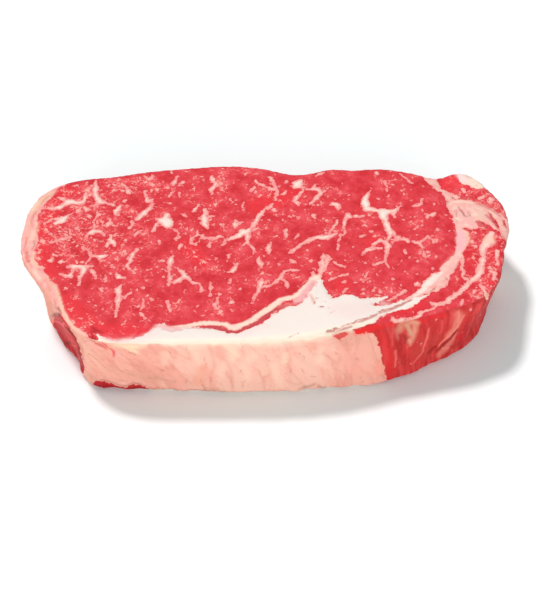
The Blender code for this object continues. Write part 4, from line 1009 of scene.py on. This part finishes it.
# painted shade where the upper face turns over at the back, away from the light
back_rim_shade = ramp(normals[:, 1], 0.25, 0.55) * ramp(points[:, 2], TOP - 5, TOP - 2)
deep = np.maximum(deep, back_rim_shade * (0.62 + 0.5 * cloud(points, 5.0, 37.0)))
deep = np.maximum(deep, 0.5 * back * ramp(cloud(wall_place * [1, 1, 0.35], 11.0, 53.0), -0.2, 0.7))
print("marbling from", round(float(marbling.min()), 2), "to", round(float(marbling.max()), 2))

# %% [markdown]
# ## Relief
#
# Meat is soft, so nothing on it is flat. The kernel of fat stands a little proud, each seam sinks in, the
# lean is grainy, and the side fat hangs in low folds. Every point moves along its own normal by the sum of
# these, so the shape stays one closed skin.

# %% Move every point by its relief
grain = 0.14 * cloud(points, 1.2) + 0.08 * cloud(points, 3.6) + 0.20 * cloud(points, 11.0)
proud = 0.35 * ramp(fat, 0, 1.6) * ramp(white, 0.6, 0.95)
edge = np.exp(-((fat / 0.5) ** 2))
face_relief = grain * (1 - 0.6 * ramp(fat, -0.2, 0.6)) + proud - 0.14 * edge
fold = cloud(wall_place * [1, 1, 0.30], 6.0)
small_fold = cloud(wall_place * [1, 1, 0.25], 2.4, 11.0)
pleat = np.clip(1 - np.abs(cloud(wall_place * [1, 1, 0.35], 7.0, 29.0)) / 0.10, 0, 1)
wall_relief = 0.55 * fold + 0.22 * small_fold - 0.40 * pleat * ramp(fat, 0, 1) + 0.10 * cloud(points, 1.6)
relief = (upper + lower) * face_relief + side * wall_relief - 0.25 * ramp(crease, -0.6, 0.3)
relief = relief * ramp(points[:, 2], 0.0, 2.0)
relief = relief + 0.30 * cloud(points, 5.0, 61.0) * side
relief = relief + 1.1 * front * ramp(6 - points[:, 2], 0, 4)


def swelling(middle, width, height, depth):
    """1 at a place on the wall, falling away over a width around it and a depth up and down."""
    return np.exp(-(((around - middle) / width) ** 2) - ((points[:, 2] - height) / depth) ** 2)


# the wall bulges low at the rim end, is pinched beside that, and sticks out at the front corner
outward = normals * [1, 1, 0]
push = 2.0 * swelling(15, 9, 3, 9) - 2.8 * swelling(41, 7, 4, 9) + 1.4 * swelling(55, 4, 1, 4)
push = push - 1.6 * swelling(212, 5, 8, 8)
moved = points + normals * relief[:, None] + outward * push[:, None]
moved[:, 2] = np.maximum(moved[:, 2], 0.0)
steak.data.vertices.foreach_set("co", (moved * MM).astype(np.float32).ravel())
steak.data.update()
print("relief from", round(float(relief.min()), 2), "to", round(float(relief.max()), 2), "mm")


# %% Hand the numbers to the material
def hand_over(piece, name, values):
    width = values.size // len(values)
    kind, slot = {1: ("FLOAT", "value"), 3: ("FLOAT_VECTOR", "vector"), 4: ("FLOAT_COLOR", "color")}[width]
    layer = piece.data.attributes.new(name, kind, "POINT")
    layer.data.foreach_set(slot, values.astype(np.float32).ravel())


for name, values in (
    ("fat", fat),
    ("white", white),
    ("marbling", marbling),
    ("deep", deep),
    ("vivid", vivid),
    ("crease", crease),
    ("side", side),
    ("skin", skin),
    ("pleat", pleat * side),
    ("wall_place", wall_place),
    ("glaze", glaze),
):
    hand_over(steak, name, values)
print("attributes:", ", ".join(layer.name for layer in steak.data.attributes))

# %% [markdown]
# ## Writing a material as sums
#
# A material is a sheet of nodes, and most of them only add, multiply or blend. The small class below wraps
# one socket, so that sums on it add the nodes. Everything else comes from one method, which makes a node of
# any type, sets it up, and joins or fills in its sockets.


# %% A socket that can be used in sums
class Wire:
    def __init__(self, sheet, socket):
        self.sheet = sheet
        self.socket = socket

    def math(self, operation, first, second):
        return self.sheet.node("ShaderNodeMath", {"operation": operation}, {0: first, 1: second})

    def __add__(self, other):
        return self.math("ADD", self, other)

    def __radd__(self, other):
        return self.math("ADD", other, self)

    def __sub__(self, other):
        return self.math("SUBTRACT", self, other)

    def __rsub__(self, other):
        return self.math("SUBTRACT", other, self)

    def __mul__(self, other):
        return self.math("MULTIPLY", self, other)

    def __rmul__(self, other):
        return self.math("MULTIPLY", other, self)

    def __abs__(self):
        return self.sheet.node("ShaderNodeMath", {"operation": "ABSOLUTE"}, {0: self})

    def other(self, output):
        """Another output of the same node."""
        return Wire(self.sheet, self.socket.node.outputs[output])

    def step(self, start, end):
        """A soft step: 0 where this is at start, 1 where it is at end."""
        values = {0: self, 1: start, 2: end, 3: 0.0, 4: 1.0}
        if start > end:
            values = {0: self, 1: end, 2: start, 3: 1.0, 4: 0.0}
        return self.sheet.node("ShaderNodeMapRange", {"interpolation_type": "SMOOTHSTEP"}, values)


# %% A sheet of nodes
class Sheet:
    def __init__(self, name):
        self.material = bpy.data.materials.new(name)
        self.material.use_nodes = True
        self.tree = self.material.node_tree
        self.shader = self.tree.nodes["Principled BSDF"]
        self.place = self.node("ShaderNodeTexCoord", output="Object")

    def node(self, kind, settings=None, values=None, output=0):
        made = self.tree.nodes.new(kind)
        for name, value in (settings or {}).items():
            setattr(made, name, value)
        for socket, value in (values or {}).items():
            if isinstance(value, Wire):
                self.tree.links.new(value.socket, made.inputs[socket])
            else:
                made.inputs[socket].default_value = value
        return Wire(self, made.outputs[output])

    def attribute(self, name, output="Fac"):
        return self.node("ShaderNodeAttribute", {"attribute_name": name}, output=output)

    def noise(self, size, detail=2.0, roughness=0.5, place=None, twist=0.0):
        """Noise from 0 to 1, with lumps of about this size in millimetres."""
        values = {"Vector": place or self.place, "Scale": 1 / (size * MM), "Detail": detail}
        values.update({"Roughness": roughness, "Distortion": twist})
        return self.node("ShaderNodeTexNoise", values=values)

    def cells(self, size, place=None, feature="F1"):
        """How far each place is from the nearest of many scattered points, in cells."""
        values = {"Vector": place or self.place, "Scale": 1 / (size * MM)}
        return self.node("ShaderNodeTexVoronoi", {"feature": feature}, values, "Distance")

    def bent(self, size, amount, place=None):
        """Places pushed about by noise of this size, by about this many millimetres."""
        values = {"Vector": place or self.place, "Scale": 1 / (size * MM), "Detail": 2.0}
        push = self.node("ShaderNodeTexNoise", values=values, output="Color")
        values = {0: push, 1: (4 * amount * MM,) * 3, 2: place or self.place}
        return self.node("ShaderNodeVectorMath", {"operation": "MULTIPLY_ADD"}, values)

    def spots(self, size, amount, place=None):
        """Ragged spots, at most one to a cell; the amount, from 0 to 1, makes them larger and more."""
        cell = self.cells(size, place=self.bent(size * 0.55, size * 0.27, place))
        reach = 0.10 + 0.26 * amount + 0.40 * (cell.other("Color") - 0.5)
        return (reach - cell).step(-0.03, 0.05)

    def blend(self, share, first, second, way="MIX"):
        """The first colour where share is 0, and the second where it is 1."""
        settings = {"data_type": "RGBA", "blend_type": way}
        return self.node("ShaderNodeMix", settings, {0: share, 6: first, 7: second}, output=2)

    def colours(self, share, *stops):
        """A colour for each share, from stops of (share, colour)."""
        blended = stops[0][1]
        for (start, _), (end, colour) in zip(stops, stops[1:]):
            blended = self.blend(share.step(start, end), blended, colour)
        return blended

    def stretched(self, place, across, down):
        """A place squeezed in x and y, and in height, for noise that runs in streaks."""
        scale = (across, across, down)
        return self.node("ShaderNodeVectorMath", {"operation": "MULTIPLY"}, {0: place, 1: scale})

    def finish(self, **sockets):
        for name, value in sockets.items():
            socket = self.shader.inputs[name.replace("_", " ")]
            if isinstance(value, Wire):
                self.tree.links.new(value.socket, socket)
            else:
                socket.default_value = value
        return self.material


# %% [markdown]
# ## Raw meat
#
# Lean meat is bundles of fibres seen end on: soft mottles of red with darker gaps between. Fat is pale and
# smoother, rosy where it is thin and white where it is thick. Colours are linear light, as Blender wants
# them. The drawn depth of fat decides which is which, and the fine marbling is added by noise.

# %% Colours of lean and fat
LEAN_DARK = (0.640, 0.028, 0.038, 1)
LEAN = (0.730, 0.044, 0.058, 1)
LEAN_BRIGHT = (0.830, 0.084, 0.102, 1)
LEAN_VIVID = (0.840, 0.036, 0.048, 1)
LEAN_DEEP_AND_SHADED = (0.400, 0.010, 0.014, 1)
WALL_DARK = (0.470, 0.020, 0.020, 1)
WALL_LEAN = (0.570, 0.030, 0.025, 1)
WALL_BRIGHT = (0.680, 0.056, 0.050, 1)
FLECK = (0.920, 0.170, 0.170, 1)
FLECK_PALE = (0.940, 0.390, 0.340, 1)
FAT_ROSY = (0.900, 0.280, 0.270, 1)
FAT_PEACH = (0.915, 0.415, 0.370, 1)
FAT_CREAM = (0.920, 0.560, 0.490, 1)
FAT_PALE = (0.920, 0.680, 0.600, 1)
FAT_WHITE = (0.910, 0.760, 0.700, 1)
# creamy fat for the kernel's rim, painted brighter than fat is, against the shade on that rounded edge
FAT_YELLOW_PAINTED_BRIGHT = (1.000, 0.870, 0.670, 1)
SIDE_DARK = (0.790, 0.300, 0.225, 1)
SIDE_FAT = (0.890, 0.388, 0.306, 1)
SIDE_PALE = (0.915, 0.490, 0.385, 1)
CREASE_ROSE = (0.500, 0.120, 0.100, 1)
CREASE_BROWN = (0.600, 0.190, 0.140, 1)


# %% The lean, with its bundles and flecks
def lean_colour(sheet, side, wall_place):
    mottle = sheet.noise(3.0, detail=2.0) * 0.45 + sheet.noise(7.0, detail=1.0) * 0.55
    streak = sheet.noise(2.4, detail=3.0, place=sheet.stretched(wall_place, 1.0, 0.16))
    tone = mottle * (1 - side) + streak * side
    red = sheet.colours(tone, (0.0, LEAN_DARK), (0.36, LEAN_DARK), (0.48, LEAN), (0.66, LEAN_BRIGHT))
    red = sheet.blend(sheet.attribute("vivid") * 0.75, red, LEAN_VIVID)
    wall_red = sheet.colours(tone, (0.0, WALL_DARK), (0.38, WALL_DARK), (0.50, WALL_LEAN),
                             (0.66, WALL_BRIGHT))
    red = sheet.blend(side * 0.85, red, wall_red)
    speckle = sheet.noise(0.8, detail=2.0)
    red = sheet.blend(speckle.step(0.53, 0.72) * 0.22, red, LEAN_BRIGHT)
    return sheet.blend(speckle.step(0.46, 0.28) * 0.25, red, LEAN_DARK)


def fine_marbling(sheet, marbling):
    """Rosy spots, larger pale ones, a web and short threads, in drifts, thickest where marbling asks."""
    drift = sheet.noise(7.0, detail=2.0) - 0.5
    amount = marbling + drift * 2.4
    rosy = sheet.spots(2.0, amount - 0.16)
    pale = sheet.spots(2.9, amount - 0.18)
    web = sheet.cells(2.3, sheet.bent(1.6, 0.45), "DISTANCE_TO_EDGE").step(0.13, 0.03)
    web = web * (sheet.noise(2.2, detail=2.0) + amount * 0.35).step(0.62, 0.78)
    thread = abs(sheet.noise(3.2, detail=2.0, twist=0.6) - 0.5).step(0.040, 0.012)
    thread = thread * (sheet.noise(2.0, detail=2.0) + amount * 0.25).step(0.60, 0.72)
    return rosy, pale, web, thread


# %% Put the meat together
def raw_meat():
    sheet = Sheet("raw beef")
    side = sheet.attribute("side")
    skin = sheet.attribute("skin")
    around = sheet.attribute("wall_place", "Vector")
    around = sheet.node("ShaderNodeVectorMath", {"operation": "SCALE"}, {0: around, "Scale": MM})
    lean = lean_colour(sheet, side, around)
    rosy, pale, web, thread = fine_marbling(sheet, sheet.attribute("marbling"))
    lean = sheet.blend(rosy * 0.5, lean, FLECK)
    lean = sheet.blend(web * 0.5, lean, FLECK)
    lean = sheet.blend(thread * 0.75, lean, FLECK_PALE)
    lean = sheet.blend(pale * 0.9, lean, FLECK_PALE)
    # deep red of the lean, and painted shade low on the front wall and on the back rim
    lean = sheet.blend(sheet.attribute("deep") * 0.8, lean, LEAN_DEEP_AND_SHADED)

    fringe = (sheet.noise(0.8, detail=2.0) - 0.5) * 1.5
    depth = sheet.attribute("fat") + fringe
    # painted shade: the lean darkens in a thin ring round every piece of fat, as shade at the seams
    painted_seam_shade = depth.step(-0.8, -0.15) * depth.step(0.1, -0.1) * 0.4
    lean = sheet.blend(painted_seam_shade, lean, LEAN_DARK)

    whiteness = sheet.attribute("white") + (sheet.noise(2.2, detail=3.0) - 0.5) * 0.55
    whiteness = whiteness * (0.66 + 0.34 * depth.step(0.0, 0.9))
    face_fat = sheet.colours(
        whiteness, (0.0, FAT_ROSY), (0.20, FAT_ROSY), (0.38, FAT_PEACH), (0.56, FAT_CREAM), (0.76, FAT_PALE),
        (0.95, FAT_WHITE),
    )
    lobule = sheet.cells(4.5, place=sheet.stretched(sheet.bent(3.0, 0.5, around), 1.0, 0.42))
    patch = sheet.noise(5.0, detail=3.0, place=sheet.stretched(around, 1.0, 0.40))
    dapple = sheet.noise(1.1, detail=2.0, place=around) * 0.34
    tone = patch * 0.62 + lobule.other("Color") * 0.3 + dapple + (sheet.attribute("white") - 0.55)
    side_fat = sheet.colours(tone, (0.0, SIDE_DARK), (0.18, SIDE_DARK), (0.42, SIDE_FAT), (0.70, SIDE_PALE))
    # painted shade: the side fat is darker in its pleats, where the relief sinks grooves
    side_fat = sheet.blend(sheet.attribute("pleat") * 0.4, side_fat, SIDE_DARK)
    # creamy fat below the kernel, painted bright as light against the shade where the rim rolls over
    cream_painted_bright = sheet.blend(sheet.attribute("white").step(0.5, 0.9), side_fat, FAT_YELLOW_PAINTED_BRIGHT)
    fat = sheet.blend(skin.step(0.0, 0.5), face_fat, cream_painted_bright)
    fat = sheet.blend(skin.step(0.4, 1.0), fat, side_fat)
    colour = sheet.blend(depth.step(-0.14, 0.18), lean, fat)
    glaze = sheet.attribute("glaze", "Color")
    share = glaze.other("Alpha")
    colour = sheet.blend(share, colour, (0, 0, 0, 1))
    colour = sheet.blend(1.0, colour, glaze, way="ADD")
    crease = sheet.attribute("crease").step(-0.20, 0.25) * sheet.noise(1.8, detail=1.0).step(0.30, 0.48)
    brown = sheet.blend(side, CREASE_ROSE, CREASE_BROWN)
    colour = sheet.blend(crease * (0.8 - 0.32 * side), colour, brown)

    pits = sheet.noise(0.7, detail=3.0, roughness=0.6)
    bump = sheet.node("ShaderNodeBump", values={"Strength": 0.25, "Distance": 0.25 * MM, "Height": pits})
    wet = 0.38 + 0.22 * sheet.noise(5.0, detail=2.0)
    return sheet.finish(Base_Color=colour, Roughness=wet, Normal=bump, Specular_IOR_Level=0.08)


steak.data.materials.clear()
steak.data.materials.append(raw_meat())
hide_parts("steak")
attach(steak, "root")
print("material nodes:", len(steak.active_material.node_tree.nodes))

# %% [markdown]
# ## Floor, light and camera
#
# The steak lies on a plain pale table. One sun from the back left gives the soft shadow in front, a broad
# one from the front keeps the wall bright, and the pale sky fills the rest.

# %% A plain pale floor
bpy.ops.mesh.primitive_plane_add(size=20.0)
floor = bpy.context.active_object
floor.name = "floor"
floor_sheet = Sheet("pale floor")
floor.data.materials.append(floor_sheet.finish(Base_Color=(0.98, 0.98, 0.98, 1), Roughness=0.9))
floor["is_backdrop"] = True


# %% Light
def sun(name, strength, towards, softness, colour=(1, 1, 1)):
    """A sun that shines from a direction given as x, y, z, with its softness in degrees."""
    light = bpy.data.lights.new(name, "SUN")
    light.energy = strength
    light.angle = math.radians(softness)
    light.color = colour
    lamp = bpy.data.objects.new(name, light)
    lamp.rotation_euler = Vector(towards).to_track_quat("Z", "Y").to_euler()
    bpy.context.scene.collection.objects.link(lamp)
    return lamp


sun("key", 2.17, (-12, 14, 30), 9, (1, 0.93, 0.93))
sun("front fill", 2.05, (2, -28, 5), 60, (0.96, 1, 1))
sky = bpy.data.worlds.new("sky")
sky.use_nodes = True
sky.node_tree.nodes["Background"].inputs["Color"].default_value = (0.78, 1, 1, 1)
sky.node_tree.nodes["Background"].inputs["Strength"].default_value = 0.45
bpy.context.scene.world = sky
bpy.context.scene.view_settings.view_transform = "Standard"

# %% Camera, 46 degrees above the table
camera = bpy.data.objects.new("camera", bpy.data.cameras.new("camera"))
camera.data.lens = 85
camera.location = (3.84 * MM, -391.1 * MM, 405.5 * MM)
camera.rotation_euler = (math.radians(44), 0, 0)
bpy.context.scene.collection.objects.link(camera)
bpy.context.scene.camera = camera
print("camera at", [round(value, 3) for value in camera.location])

# %% Print the sizes of the imported model and of what is shown, and finish
boxes = {"cad": cad_box, "visual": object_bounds()}
boxes = {name: [[float(value) for value in corner] for corner in box] for name, box in boxes.items()}
print("sizes:", boxes)
